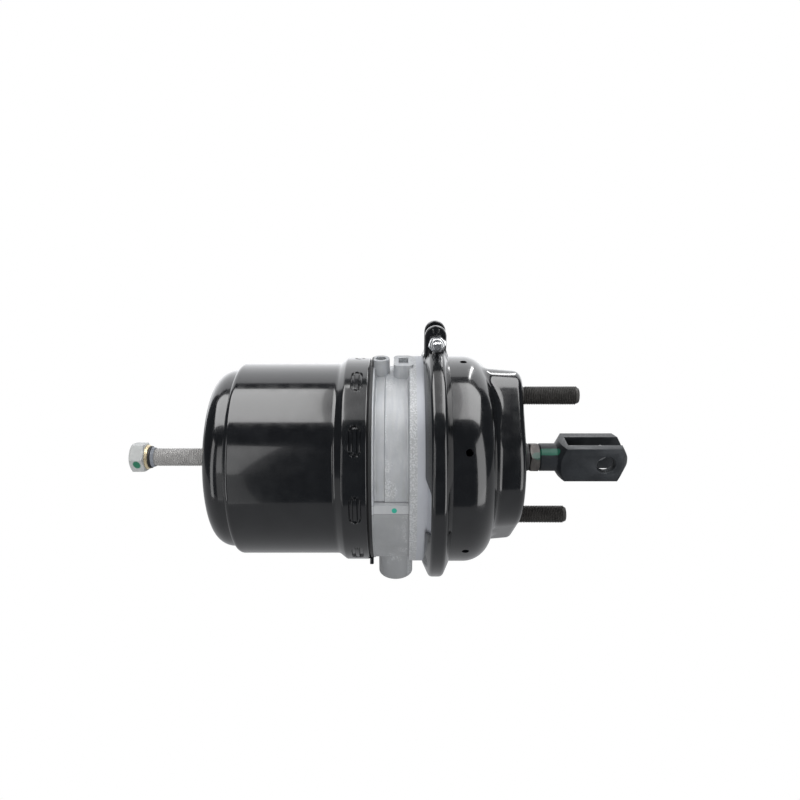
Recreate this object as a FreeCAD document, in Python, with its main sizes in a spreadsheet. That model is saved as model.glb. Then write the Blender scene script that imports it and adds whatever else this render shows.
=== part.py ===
import FreeCAD, Part
import math
import os
import re
import Sketcher
from FreeCAD import Placement, Rotation, Vector

# Double-diaphragm air brake chamber with a spring brake section.
# X is the cylinder axis with the push rod towards +X, and Z runs through the two studs.
# The origin lies on the mounting face, halfway between the studs.
# Radii and lengths are millimetres, angles are degrees.

SIZES = {
    # mounting face and its raised lozenge
    "stud_spacing": 120.65,
    "stud_diameter": 16.0,
    "stud_reach": 50.6,
    "stud_head_diameter": 23.0,
    "stud_head_height": 6.0,
    "stud_chamfer": 1.5,
    "stud_shoulder": 0.6,
    "nose_height": 25.5,
    "nose_half_width": 62.0,
    "nose_end_radius": 21.0,
    "nose_taper": 5.0,
    "nose_edge": 6.5,
    "nose_bury": 11.0,
    # pressed service housing
    "service_radius": 91.3,
    "service_wall": 3.0,
    "shoulder_radius": 24.0,
    "vent_diameter": 6.0,
    "vent_set_back": 50.0,
    "rod_hole_radius": 22.0,
    # clamped joint
    "clamp_plane": 73.5,
    "bead_thickness": 5.0,
    "foot_gap": 1.0,
    "lip_height": 8.2,
    "crown_gap": 4.1,
    "ring_width": 22.0,
    "ring_wall": 2.2,
    "ring_gap": 0.3,
    "ring_crown_edge": 4.0,
    "v_angle": 25.0,
    "ear_width": 19.6,
    "ear_wall": 4.0,
    "ear_gap": 10.0,
    "ear_height": 21.9,
    "clamp_bolt_diameter": 8.0,
    "clamp_across_flats": 13.0,
    "clamp_nut_height": 6.8,
    "clamp_head_height": 5.3,
    "cutout_angle": 20.0,
    "ridge_thickness": 3.0,
    "ear_foot": 16.0,
    # cast intermediate flange
    "flange_length": 53.0,
    "register_radius": 86.2,
    "left_rim_radius": 88.2,
    "left_rim_width": 4.5,
    "drum_radius": 80.8,
    "drum_step": 1.4,
    "right_rim_width": 12.6,
    "crimp_overlap": 20.5,
    "cavity_radius": 73.0,
    "hub_radius": 34.0,
    "web_thickness": 10.0,
    "dish_depth": 16.0,
    "dish_inner": 56.0,
    "dish_outer": 84.0,
    "bush_set_back": 14.0,
    "bush_length": 16.0,
    "block_radius": 87.5,
    "block_half_angle": 85.0,
    "port_boss_radius": 16.0,
    "port_reach": 122.5,
    "port_radius": 7.25,
    "port_depth": 18.0,
    "port_turn": 42.0,
    "passage_radius": 3.0,
    "round_lug_radius": 7.4,
    "round_lug_reach": 94.5,
    "oblong_lug_width": 16.4,
    "oblong_lug_length": 26.0,
    "oblong_lug_reach": 92.5,
    # diaphragm and push rod
    "membrane": 3.0,
    "soft_gap": 0.3,
    "plate_radius": 50.0,
    "plate_thickness": 3.5,
    "plate_rim": 7.0,
    "rod_radius": 8.0,
    "rod_base_radius": 12.0,
    "rod_base_length": 14.0,
    "return_wire": 4.0,
    "return_small_radius": 27.0,
    "boot_flange_radius": 26.0,
    "boot_collar_radius": 12.4,
    "boot_reach": 11.4,
    "lock_across_flats": 24.0,
    "lock_nut_height": 9.0,
    # clevis
    "clevis_square": 32.0,
    "clevis_neck_radius": 12.5,
    "clevis_neck_length": 15.0,
    "clevis_length": 77.7,
    "clevis_slot": 16.0,
    "clevis_slot_length": 54.0,
    "clevis_pin_radius": 8.0,
    "clevis_pin_setback": 20.4,
    "clevis_thread_depth": 28.0,
    "clevis_nose_radius": 12.0,
    # spring housing
    "body_length": 264.2,
    "spring_radius": 84.4,
    "spring_wall": 3.0,
    "crimp_radius": 89.5,
    "crimp_flare": 6.5,
    "dome_radius": 78.4,
    "dome_length": 20.7,
    "dome_edge": 16.0,
    "pocket_length": 26.0,
    "pocket_width": 11.0,
    "pocket_depth": 1.7,
    "pocket_count": 10,
    "tongue_width": 5.5,
    "tab_turn": 148.0,
    "tab_reach": 94.2,
    "tab_length": 7.0,
    "tab_thickness": 2.5,
    # spring brake inside
    "spring_space": 48.5,
    "spring_wire": 11.0,
    "spring_mean_radius": 62.0,
    "crown_thickness": 6.0,
    "piston_skirt": 22.0,
    "skirt_wall": 6.5,
    "piston_hub_radius": 26.0,
    "piston_hub_length": 10.0,
    "tube_radius": 20.0,
    "tube_wall": 4.0,
    "tube_web": 6.0,
    "cap_plug": 7.0,
    "cap_lip": 3.0,
    "seal_section": 4.0,
    # release bolt
    "release_radius": 8.0,
    "release_across_flats": 24.0,
    "release_nut_height": 13.0,
    "release_travel": 58.6,
    "release_bush_radius": 14.0,
    "release_bush_length": 16.0,
    "release_bush_proud": 1.5,
    "collar_length": 2.9,
    "collar_radius": 9.3,
    "seal_ring_length": 2.4,
    "seal_ring_radius": 10.0,
    "washer_length": 1.9,
    "washer_radius": 10.8,
    "thrust_ring_radius": 15.2,
    "thrust_ring_length": 6.0,
    # clearances
    "running": 0.05,
    "loose": 0.3,
}

# Places along X and derived radii, each worked out from the sizes above.
PLACES = {
    "x_joint": "0 - clamp_plane",
    "ring_foot": "service_radius + foot_gap",
    "lip_radius": "ring_foot + lip_height",
    "ring_radius": "lip_radius + crown_gap",
    "ear_reach": "ring_radius + ear_height",
    "clamp_bolt_height": "ring_radius + ear_height / 3",
    "right_rim_radius": "service_radius - loose",
    "x_housing_lip": "x_joint + bead_thickness / 2",
    "x_flange_face": "x_joint - bead_thickness / 2",
    "ring_reach": "ring_width / 2 - ring_wall / cos(v_angle * 1 deg)",
    "lip_slope": "tan(v_angle * 1 deg)",
    "lip_tip": "ring_reach - ring_gap - (lip_radius - ring_foot) * lip_slope",
    "lip_root": "ring_reach - ring_gap + (ring_foot - service_radius) * lip_slope",
    "flange_lip_root": "ring_reach - ring_gap + (ring_foot - right_rim_radius) * lip_slope",
    "crown_half": "ring_width / 2 - (ring_radius - ring_foot) * lip_slope",
    "inner_crown_half": "crown_half - ring_wall * (1 / cos(v_angle * 1 deg) - lip_slope)",
    "x_web_right": "x_flange_face - dish_depth",
    "x_web_left": "x_web_right - web_thickness",
    "x_rim_left": "x_joint - ring_width / 2 - right_rim_width",
    "x_flange_seat": "x_flange_face - flange_length",
    "x_flange_left": "x_flange_seat - crimp_overlap",
    "x_drum_step": "x_flange_seat + left_rim_width + 8",
    "x_membrane": "x_web_right + soft_gap",
    "x_plate": "x_membrane + membrane + soft_gap",
    "x_rod": "x_plate + plate_thickness",
    "return_height": "0 - service_wall - x_rod - return_wire - 2 * soft_gap",
    "return_large_radius": "plate_radius - plate_thickness - return_wire",
    "x_lock_nut": "boot_reach + loose",
    "x_clevis": "x_lock_nut + lock_nut_height",
    "x_clevis_tip": "x_clevis + clevis_length",
    "x_clevis_square": "x_clevis + clevis_neck_length",
    "x_slot": "x_clevis_tip - clevis_slot_length",
    "x_pin": "x_clevis_tip - clevis_pin_setback",
    "x_body_end": "0 - body_length",
    "x_end_wall": "x_body_end + spring_wall",
    "x_crown": "x_end_wall + spring_space",
    "x_tube_left": "x_crown - piston_hub_length",
    "x_thrust": "x_tube_left + tube_web + loose",
    "x_bush_left": "x_body_end - release_bush_proud",
    "x_collar": "x_bush_left - release_travel - collar_length",
    "x_seal_ring": "x_collar - seal_ring_length",
    "x_washer": "x_seal_ring - washer_length",
    "x_release_nut": "x_washer - release_nut_height",
    "spring_bore": "spring_radius - spring_wall",
    "dome_step": "spring_radius - dome_radius",
    "piston_radius": "spring_bore - loose",
    "x_bush": "x_flange_left + bush_set_back",
    "x_cap": "x_web_right - cap_lip",
    "crimp_bore": "register_radius + 0.3",
    "x_port": "x_flange_seat + 21",
    "x_round_lug": "x_flange_seat + 9",
    "x_oblong_lug": "x_flange_seat + 28",
    "x_pocket": "x_flange_left + crimp_overlap / 2",
    "x_groove": "x_flange_left + 3",
}

doc = FreeCAD.newDocument("air_brake_chamber")
sheet = doc.addObject("Spreadsheet::Sheet", "Sizes")
for row, (alias, number) in enumerate(SIZES.items(), start=1):
    sheet.set(f"A{row}", alias.replace("_", " "))
    sheet.set(f"B{row}", str(number))
    sheet.setAlias(f"B{row}", alias)
doc.recompute()


def sized(text):
    """Write an expression out with every name pointing at a cell of the sheet."""

    def cell(match):
        word = match.group(0)
        if word in PLACES:
            return "(" + sized(PLACES[word]) + ")"
        return "Sizes." + word if word in SIZES else word

    return re.sub(r"[a-z_]+", cell, str(text))


def value(text):
    """Number that an expression has now."""
    return float(sheet.evalExpression(sized(text)))


def drive(thing, prop, text):
    """Set a property and bind it to the sheet."""
    setattr(thing, prop, value(text))
    thing.setExpression(prop, sized(text))


def origin_part(body, role):
    """Plane or axis of a body's own origin."""
    return next(f for f in body.Origin.OriginFeatures if f.Role == role)


def new_body(label):
    body = doc.addObject("PartDesign::Body", label)
    body.Label = label
    return body


def new_sketch(body, name, plane="XZ_Plane", offset=None, turn="0"):
    """Empty sketch on an origin plane, moved along its normal, or round the X axis and outwards."""
    sketch = body.newObject("Sketcher::SketchObject", name)
    sketch.AttachmentSupport = [(origin_part(body, plane), "")]
    sketch.MapMode = "FlatFace"
    if offset is not None:
        angle = value(turn)
        sketch.AttachmentOffset = Placement(Vector(0, 0, value(offset)), Rotation(Vector(1, 0, 0), angle))
        sketch.setExpression(".AttachmentOffset.Base.z", f"({sized(offset)}) * cos(({sized(turn)}) * 1 deg)")
        if angle:
            sketch.setExpression(".AttachmentOffset.Base.y", f"-({sized(offset)}) * sin(({sized(turn)}) * 1 deg)")
            sketch.setExpression(".AttachmentOffset.Rotation.Angle", f"({sized(turn)}) * 1 deg")
    return sketch


def pin_point(sketch, geometry, vertex, across, up):
    """Hold one point of a sketch at two expressions measured from the sketch's origin."""
    for kind, axis, text in (("DistanceX", -2, across), ("DistanceY", -1, up)):
        if str(text) == "0":
            sketch.addConstraint(Sketcher.Constraint("PointOnObject", geometry, vertex, axis))
            continue
        index = sketch.addConstraint(Sketcher.Constraint(kind, -1, 1, geometry, vertex, value(text)))
        sketch.setExpression(f"Constraints[{index}]", sized(text))


def radius_of(sketch, geometry, text):
    index = sketch.addConstraint(Sketcher.Constraint("Radius", geometry, value(text)))
    sketch.setExpression(f"Constraints[{index}]", sized(text))


def outline(sketch, corners):
    """Closed outline through (across, up) or (across, up, rounding radius) corners, fully constrained."""
    points = [Vector(value(c[0]), value(c[1]), 0) for c in corners]
    count = len(corners)
    arrive, leave, arcs = [], [], {}
    for i, corner in enumerate(corners):
        here, before, after = points[i], points[i - 1], points[(i + 1) % count]
        back, ahead = (before - here).normalize(), (after - here).normalize()
        if len(corner) == 2:
            arrive.append(here)
            leave.append(here)
            continue
        radius = value(corner[2])
        half = back.getAngle(ahead) / 2
        start, end = here + back * (radius / math.tan(half)), here + ahead * (radius / math.tan(half))
        centre = here + (back + ahead).normalize() * (radius / math.sin(half))
        arrive.append(start)
        leave.append(end)
        arcs[i] = (centre, radius, start, end)
    lines = []
    for i in range(count):
        lines.append(sketch.addGeometry(Part.LineSegment(leave[i], arrive[(i + 1) % count])))
    for i, corner in enumerate(corners):
        mark = sketch.addGeometry(Part.Point(points[i]), True)
        pin_point(sketch, mark, 1, corner[0], corner[1])
        if i not in arcs:
            sketch.addConstraint(Sketcher.Constraint("Coincident", lines[i - 1], 2, mark, 1))
            sketch.addConstraint(Sketcher.Constraint("Coincident", lines[i], 1, mark, 1))
            continue
        centre, radius, start, end = arcs[i]
        first, last = start - centre, end - centre
        left_turn = first.cross(last).z > 0
        from_ray, to_ray = (first, last) if left_turn else (last, first)
        circle = Part.Circle(centre, Vector(0, 0, 1), radius)
        angles = [math.atan2(ray.y, ray.x) for ray in (from_ray, to_ray)]
        arc = sketch.addGeometry(Part.ArcOfCircle(circle, *angles))
        sketch.addConstraint(Sketcher.Constraint("PointOnObject", mark, 1, lines[i - 1]))
        sketch.addConstraint(Sketcher.Constraint("PointOnObject", mark, 1, lines[i]))
        sketch.addConstraint(Sketcher.Constraint("Tangent", lines[i - 1], 2, arc, 1 if left_turn else 2))
        sketch.addConstraint(Sketcher.Constraint("Tangent", lines[i], 1, arc, 2 if left_turn else 1))
        radius_of(sketch, arc, corner[2])
    return sketch


def circle(sketch, across, up, radius):
    ring = Part.Circle(Vector(value(across), value(up), 0), Vector(0, 0, 1), value(radius))
    index = sketch.addGeometry(ring)
    pin_point(sketch, index, 3, across, up)
    radius_of(sketch, index, radius)
    return sketch


def turned(body, name, corners, cut=False, angle=None, plane="XZ_Plane"):
    """Revolve an outline about the X axis, as material or as a groove, all round or evenly about its plane."""
    sketch = outline(new_sketch(body, name + "_profile", plane), corners)
    feature = body.newObject("PartDesign::Groove" if cut else "PartDesign::Revolution", name)
    feature.Profile = sketch
    feature.ReferenceAxis = (sketch, ["H_Axis"])
    feature.Angle = 360
    if angle:
        drive(feature, "Angle", f"({angle}) * 1 deg")
        feature.Midplane = True
    sketch.Visibility = False
    return feature


def extruded(body, name, sketch, length, cut=False, flip=False, middle=False, taper=None):
    """Pad or pocket a sketch."""
    feature = body.newObject("PartDesign::Pocket" if cut else "PartDesign::Pad", name)
    feature.Profile = sketch
    drive(feature, "Length", length)
    feature.Reversed = flip
    if middle:
        feature.Midplane = True
    if taper:
        drive(feature, "TaperAngle", taper)
    sketch.Visibility = False
    return feature


def polar(body, name, feature, count):
    """Repeat a feature evenly round the X axis."""
    pattern = body.newObject("PartDesign::PolarPattern", name)
    pattern.Originals = [feature]
    pattern.Axis = (origin_part(body, "X_Axis"), [""])
    pattern.Angle = 360
    pattern.Occurrences = int(value(count))
    pattern.setExpression("Occurrences", sized(count))
    body.Tip = pattern
    return pattern


def edges_where(feature, test):
    """Names of a feature's edges that pass a test."""
    doc.recompute()
    return [f"Edge{n}" for n, edge in enumerate(feature.Shape.Edges, start=1) if test(edge)]


def rounded(body, name, feature, radius, test):
    """Fillet the edges of a feature that pass a test."""
    names = edges_where(feature, test)
    fillet = body.newObject("PartDesign::Fillet", name)
    fillet.Base = (feature, names)
    drive(fillet, "Radius", radius)
    return fillet


def at_x(place):
    """Test for edges that lie in the plane X = place."""

    def test(edge):
        box = edge.BoundBox
        return abs(box.XMin - value(place)) < 0.01 and abs(box.XMax - value(place)) < 0.01

    return test


def lozenge(sketch, half_width, end_radius):
    """Outline of the raised mounting face: a wide middle arc each side drawn in to an arc round each stud."""
    wide, tight, reach = value(half_width), value(end_radius), value("stud_spacing / 2")
    up = (wide - tight) / reach
    across = math.sqrt(1 - up * up)
    lean = math.atan2(up, across)
    top = Part.Circle(Vector(0, reach, 0), Vector(0, 0, 1), tight)
    bottom = Part.Circle(Vector(0, -reach, 0), Vector(0, 0, 1), tight)
    middle = Part.Circle(Vector(0, 0, 0), Vector(0, 0, 1), wide)
    arcs = [
        sketch.addGeometry(Part.ArcOfCircle(middle, -lean, lean)),
        sketch.addGeometry(Part.ArcOfCircle(top, lean, math.pi - lean)),
        sketch.addGeometry(Part.ArcOfCircle(middle, math.pi - lean, math.pi + lean)),
        sketch.addGeometry(Part.ArcOfCircle(bottom, math.pi + lean, 2 * math.pi - lean)),
    ]
    for i, arc in enumerate(arcs):
        following = arcs[(i + 1) % 4]
        start, end = sketch.Geometry[arc].EndPoint, sketch.Geometry[following].StartPoint
        line = sketch.addGeometry(Part.LineSegment(start, end))
        sketch.addConstraint(Sketcher.Constraint("Tangent", arc, 2, line, 1))
        sketch.addConstraint(Sketcher.Constraint("Tangent", line, 2, following, 1))
    for arc, up_text in zip(arcs, ("0", "stud_spacing / 2", "0", "0 - stud_spacing / 2")):
        pin_point(sketch, arc, 3, "0", up_text)
    for arc, radius in zip(arcs, (half_width, end_radius, half_width, end_radius)):
        radius_of(sketch, arc, radius)
    return sketch


def hexagon(sketch, across_flats):
    """Regular hexagon about the sketch's origin, a corner towards its first axis."""
    corner = f"({across_flats}) / 2 / cos(30 deg)"
    turns = [(f"{corner} * cos({60 * n} deg)", f"{corner} * sin({60 * n} deg)") for n in range(6)]
    turns[0] = (corner, "0")
    turns[3] = (f"0 - {corner}", "0")
    return outline(sketch, turns)


def hex_piece(label, across_flats, height, bore, chamfer="1.2"):
    """Hexagon nut from x = 0 to x = height, with both ends turned to a 30 degree chamfer."""
    body = new_body(label)
    extruded(body, "hexagon", hexagon(new_sketch(body, "flats", "YZ_Plane", "0"), across_flats), height)
    flat, point = f"({across_flats}) * 0.475", f"({across_flats}) * 0.62"
    drop = f"(({point}) - ({flat})) * tan(30 deg)"
    turned(body, "left_chamfer", [("0", flat), (drop, point), ("0 - 1", point), ("0 - 1", flat)], cut=True)
    turned(
        body,
        "right_chamfer",
        [(height, flat), (f"{height} - {drop}", point), (f"{height} + 1", point), (f"{height} + 1", flat)],
        cut=True,
    )
    if bore:
        hole = circle(new_sketch(body, "bore_circle", "YZ_Plane", f"{height} + 1"), "0", "0", bore)
        extruded(body, "bore", hole, f"{height} + 2", cut=True)
    return body


def placed(body, x="0", y="0", z="0", axis=None, angle=0.0):
    """Put a piece where it sits, its place bound to the sheet."""
    rotation = Rotation(axis, angle) if axis else Rotation()
    body.Placement = Placement(Vector(value(x), value(y), value(z)), rotation)
    for letter, text in zip("xyz", (x, y, z)):
        body.setExpression(f".Placement.Base.{letter}", sized(text))
    return body


def ring_body(label, corners):
    """Piece that is turned in one go."""
    body = new_body(label)
    turned(body, "turned", corners)
    return body


def helix_body(label, x_start, mean_radius, wire, height, turns, cone="0"):
    """Coil spring wound round the X axis, from a round wire section."""
    body = new_body(label)
    section = new_sketch(body, "wire_section")
    circle(section, x_start, mean_radius, f"({wire}) / 2")
    coil = body.newObject("PartDesign::AdditiveHelix", "coil")
    coil.Profile = section
    coil.ReferenceAxis = (origin_part(body, "X_Axis"), [""])
    coil.Mode = "height-turns-angle"
    drive(coil, "Height", height)
    coil.Turns = turns
    drive(coil, "Angle", cone)
    section.Visibility = False
    return body


# Service housing: a deep-drawn cup with a lozenge platform for the studs on its end.
housing = new_body("service_housing")
turned(
    housing,
    "cup",
    [
        ("x_housing_lip", "0"),
        ("x_housing_lip", "lip_radius"),
        ("x_joint + lip_tip", "lip_radius"),
        ("x_joint + lip_root", "service_radius", "1.5"),
        ("0 - nose_height", "service_radius", "shoulder_radius"),
        ("0 - nose_height", "0"),
    ],
)
nose_sketch = lozenge(new_sketch(housing, "nose_outline", "YZ_Plane", "0"), "nose_half_width", "nose_end_radius")
nose = extruded(housing, "nose", nose_sketch, "nose_height + nose_bury", flip=True, taper="nose_taper")
rounded(housing, "nose_edge_round", nose, "nose_edge", at_x("0"))
turned(
    housing,
    "cavity",
    [
        ("x_housing_lip - 1", "0"),
        ("x_housing_lip - 1", "service_radius - service_wall"),
        ("0 - nose_height - service_wall", "service_radius - service_wall", "shoulder_radius - service_wall"),
        ("0 - nose_height - service_wall", "0"),
    ],
    cut=True,
)
inner_sketch = lozenge(
    new_sketch(housing, "nose_inside", "YZ_Plane", "0 - service_wall"),
    "nose_half_width - service_wall",
    "nose_end_radius - service_wall",
)
extruded(housing, "nose_cavity", inner_sketch, "nose_height + nose_bury - service_wall", cut=True, taper="nose_taper")
face_holes = new_sketch(housing, "face_holes", "YZ_Plane", "1")
circle(face_holes, "0", "0", "rod_hole_radius")
circle(face_holes, "0", "stud_spacing / 2", "stud_diameter / 2 + stud_shoulder + running")
circle(face_holes, "0", "0 - stud_spacing / 2", "stud_diameter / 2 + stud_shoulder + running")
extruded(housing, "face_openings", face_holes, "service_wall + 2", cut=True)
vent_sketch = circle(
    new_sketch(housing, "vent_circle", "XY_Plane", "service_radius + 2"), "0 - vent_set_back", "0", "vent_diameter / 2"
)
vent = extruded(housing, "vent", vent_sketch, "service_wall + 5", cut=True)
polar(housing, "vents", vent, "6")

# Two studs pressed through the face from inside by a shoulder, heads against the sheet.
for label, side in (("mounting_stud_upper", "stud_spacing / 2"), ("mounting_stud_lower", "0 - stud_spacing / 2")):
    stud = ring_body(
        label,
        [
            ("0 - service_wall - stud_head_height", "0"),
            ("0 - service_wall - stud_head_height", "stud_head_diameter / 2"),
            ("0 - service_wall", "stud_head_diameter / 2"),
            ("0 - service_wall", "stud_diameter / 2 + stud_shoulder"),
            ("0", "stud_diameter / 2 + stud_shoulder"),
            ("0", "stud_diameter / 2"),
            ("stud_reach - stud_chamfer", "stud_diameter / 2"),
            ("stud_reach", "stud_diameter / 2 - stud_chamfer"),
            ("stud_reach", "0"),
        ],
    )
    placed(stud, z=side)

# One-piece V-section clamp ring with two ears, its skirts cut back at the sides so that it can spring open.
ring = new_body("clamp_ring")
turned(
    ring,
    "band",
    [
        ("x_joint - ring_width / 2", "ring_foot"),
        ("x_joint - crown_half", "ring_radius", "ring_crown_edge"),
        ("x_joint + crown_half", "ring_radius", "ring_crown_edge"),
        ("x_joint + ring_width / 2", "ring_foot"),
        ("x_joint + ring_reach", "ring_foot"),
        ("x_joint + inner_crown_half", "ring_radius - ring_wall", "ring_crown_edge / 2"),
        ("x_joint - inner_crown_half", "ring_radius - ring_wall", "ring_crown_edge / 2"),
        ("x_joint - ring_reach", "ring_foot"),
    ],
)
cutout = turned(
    ring,
    "cutout",
    [
        ("x_joint - ring_width", "ring_radius - ridge_thickness"),
        ("x_joint + ring_width", "ring_radius - ridge_thickness"),
        ("x_joint + ring_width", "ring_foot - 2"),
        ("x_joint - ring_width", "ring_foot - 2"),
    ],
    cut=True,
    angle="cutout_angle",
    plane="XY_Plane",
)
polar(ring, "cutouts", cutout, "2")
ear_foot_side = outline(
    new_sketch(ring, "ear_foot_side", "YZ_Plane", "x_joint"),
    [
        ("0 - ear_gap / 2", "lip_radius + loose"),
        ("0 - ear_gap / 2", "ring_radius + 4"),
        ("0 - ear_gap / 2 - ear_wall", "ring_radius + 4"),
        ("0 - ear_gap / 2 - ear_wall", "ring_radius - 0.4", "2"),
        ("0 - ear_gap / 2 - ear_wall - ear_foot", "ring_radius - 2.2"),
        ("0 - ear_gap / 2 - ear_wall - ear_foot", "lip_radius + loose"),
    ],
)
ear_foot = extruded(ring, "ear_foot", ear_foot_side, "2 * crown_half", middle=True)
ear_plate = outline(
    new_sketch(ring, "ear_plate", "XZ_Plane", "ear_gap / 2"),
    [
        ("x_joint - ear_width / 2", "lip_radius + loose"),
        ("x_joint + ear_width / 2", "lip_radius + loose"),
        ("x_joint + ear_width / 2", "ear_reach", "ear_width / 2 - 0.1"),
        ("x_joint - ear_width / 2", "ear_reach", "ear_width / 2 - 0.1"),
    ],
)
ear = extruded(ring, "ear", ear_plate, "ear_wall")
mirror = ring.newObject("PartDesign::Mirrored", "second_ear")
mirror.Originals = [ear_foot, ear]
mirror.MirrorPlane = (origin_part(ring, "XZ_Plane"), [""])
ring.Tip = mirror
gap_sketch = outline(
    new_sketch(ring, "gap_outline", "XZ_Plane"),
    [
        ("x_joint - ring_width", "lip_radius - 12"),
        ("x_joint + ring_width", "lip_radius - 12"),
        ("x_joint + ring_width", "ear_reach + 2"),
        ("x_joint - ring_width", "ear_reach + 2"),
    ],
)
extruded(ring, "ear_gap_cut", gap_sketch, "ear_gap", cut=True, middle=True)
ear_hole = circle(
    new_sketch(ring, "ear_hole", "XZ_Plane"), "x_joint", "clamp_bolt_height", "clamp_bolt_diameter / 2 + loose"
)
extruded(ring, "ear_holes", ear_hole, "ear_gap + 4 * ear_wall", cut=True, middle=True)

# Clamp bolt across the ears, head behind, nut towards the front.
clamp_bolt = hex_piece("clamp_bolt", "clamp_across_flats", "clamp_head_height", None)
shank = circle(new_sketch(clamp_bolt, "shank_circle", "YZ_Plane", "0"), "0", "0", "clamp_bolt_diameter / 2")
extruded(clamp_bolt, "shank", shank, "ear_gap + 2 * ear_wall + clamp_nut_height + 3", flip=True)
placed(
    clamp_bolt,
    x="x_joint",
    y="ear_gap / 2 + ear_wall",
    z="clamp_bolt_height",
    axis=Vector(0, 0, 1),
    angle=90,
)
clamp_nut = hex_piece("clamp_nut", "clamp_across_flats", "clamp_nut_height", "clamp_bolt_diameter / 2 + running")
placed(
    clamp_nut,
    x="x_joint",
    y="0 - ear_gap / 2 - ear_wall",
    z="clamp_bolt_height",
    axis=Vector(0, 0, 1),
    angle=-90,
)

# Die-cast intermediate flange: crimped register, recessed drum, machined rim and conical clamping lip.
flange = new_body("intermediate_flange")
turned(
    flange,
    "casting",
    [
        ("x_flange_left", "cavity_radius + 9"),
        ("x_flange_left", "register_radius"),
        ("x_groove", "register_radius"),
        ("x_groove", "register_radius - seal_section"),
        ("x_groove + seal_section + 0.4", "register_radius - seal_section"),
        ("x_groove + seal_section + 0.4", "register_radius"),
        ("x_flange_seat", "register_radius"),
        ("x_flange_seat", "left_rim_radius", "0.8"),
        ("x_flange_seat + left_rim_width", "left_rim_radius", "1.5"),
        ("x_flange_seat + left_rim_width", "drum_radius", "1.5"),
        ("x_drum_step", "drum_radius"),
        ("x_drum_step + 0.8", "drum_radius + drum_step"),
        ("x_rim_left", "drum_radius + drum_step", "1.5"),
        ("x_rim_left + 0.6", "right_rim_radius", "0.8"),
        ("x_joint - flange_lip_root", "right_rim_radius"),
        ("x_joint - lip_tip", "lip_radius"),
        ("x_flange_face", "lip_radius"),
        ("x_flange_face", "dish_outer"),
        ("x_web_right", "dish_inner"),
        ("x_web_right", "tube_radius + loose"),
        ("x_flange_left + 10", "tube_radius + loose"),
        ("x_flange_left + 10", "hub_radius - 4"),
        ("x_web_left", "hub_radius", "4"),
        ("x_web_left", "cavity_radius", "5"),
    ],
)
turned(
    flange,
    "port_block",
    [
        ("x_flange_seat + 0.6", "0 - cavity_radius - 3"),
        ("x_flange_seat + 0.6", "0 - block_radius", "1.5"),
        ("x_rim_left + 0.3", "0 - block_radius"),
        ("x_rim_left + 0.3", "0 - cavity_radius - 3"),
    ],
    angle="2 * block_half_angle",
)
facet_near = "block_radius - 1.2"
facet_sketch = outline(
    new_sketch(flange, "facet_outline", "YZ_Plane", "x_flange_seat + 0.6"),
    [
        ("0 - (drum_radius - 2) * cos(2.5 deg)", "(drum_radius - 2) * sin(2.5 deg)"),
        (f"0 - ({facet_near}) * cos(1.6 deg)", f"({facet_near}) * sin(1.6 deg)"),
        ("0 - block_radius * cos(5.2 deg)", "0 - block_radius * sin(5.2 deg)"),
        ("0 - (drum_radius - 2) * cos(5.2 deg)", "0 - (drum_radius - 2) * sin(5.2 deg)"),
    ],
)
facet = extruded(flange, "facet", facet_sketch, "x_rim_left - x_flange_seat - 0.3")
doc.recompute()
facets = flange.newObject("PartDesign::Mirrored", "facets")
facets.Originals = [facet]
facets.MirrorPlane = (origin_part(flange, "XZ_Plane"), [""])
flange.Tip = facets
round_lug = circle(
    new_sketch(flange, "round_lug_circle", "XY_Plane", "round_lug_reach"), "x_round_lug", "0", "round_lug_radius"
)
extruded(flange, "round_lug", round_lug, "round_lug_reach - cavity_radius - 3", flip=True)
oblong_lug = outline(
    new_sketch(flange, "oblong_lug_outline", "XY_Plane", "oblong_lug_reach"),
    [
        ("x_oblong_lug - oblong_lug_width / 2", "0 - oblong_lug_length / 2", "5"),
        ("x_oblong_lug + oblong_lug_width / 2", "0 - oblong_lug_length / 2", "5"),
        ("x_oblong_lug + oblong_lug_width / 2", "oblong_lug_length / 2", "5"),
        ("x_oblong_lug - oblong_lug_width / 2", "oblong_lug_length / 2", "5"),
    ],
)
extruded(flange, "oblong_lug", oblong_lug, "oblong_lug_reach - cavity_radius - 3", flip=True)
round_recess = circle(
    new_sketch(flange, "round_recess_circle", "XY_Plane", "round_lug_reach"),
    "x_round_lug",
    "0",
    "round_lug_radius - 3",
)
extruded(flange, "round_recess", round_recess, "4", cut=True)
oblong_recess = outline(
    new_sketch(flange, "oblong_recess_outline", "XY_Plane", "oblong_lug_reach"),
    [
        ("x_oblong_lug - oblong_lug_width / 4", "0 - oblong_lug_length / 4"),
        ("x_oblong_lug + oblong_lug_width / 4", "0 - oblong_lug_length / 4"),
        ("x_oblong_lug + oblong_lug_width / 4", "oblong_lug_length / 4"),
        ("x_oblong_lug - oblong_lug_width / 4", "oblong_lug_length / 4"),
    ],
)
extruded(flange, "oblong_recess", oblong_recess, "4", cut=True)
# Two tapped ports: the spring brake port straight down, the service port down and to the back.
for port, turn, passage in (("spring_port", "180", "cavity_radius - 6"), ("service_port", "180 + port_turn", "45")):
    boss = circle(new_sketch(flange, port + "_boss", "XY_Plane", "port_reach", turn), "x_port", "0", "port_boss_radius")
    extruded(flange, port + "_pad", boss, "port_reach - cavity_radius - 3", flip=True)
for port, turn, passage in (("spring_port", "180", "cavity_radius - 6"), ("service_port", "180 + port_turn", "45")):
    hole = circle(new_sketch(flange, port + "_hole", "XY_Plane", "port_reach", turn), "x_port", "0", "port_radius")
    extruded(flange, port + "_tapping", hole, "port_depth", cut=True)
    bleed = circle(
        new_sketch(flange, port + "_passage_circle", "XY_Plane", "port_reach", turn), "x_port", "0", "passage_radius"
    )
    extruded(flange, port + "_passage", bleed, f"port_reach - ({passage})", cut=True)

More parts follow.
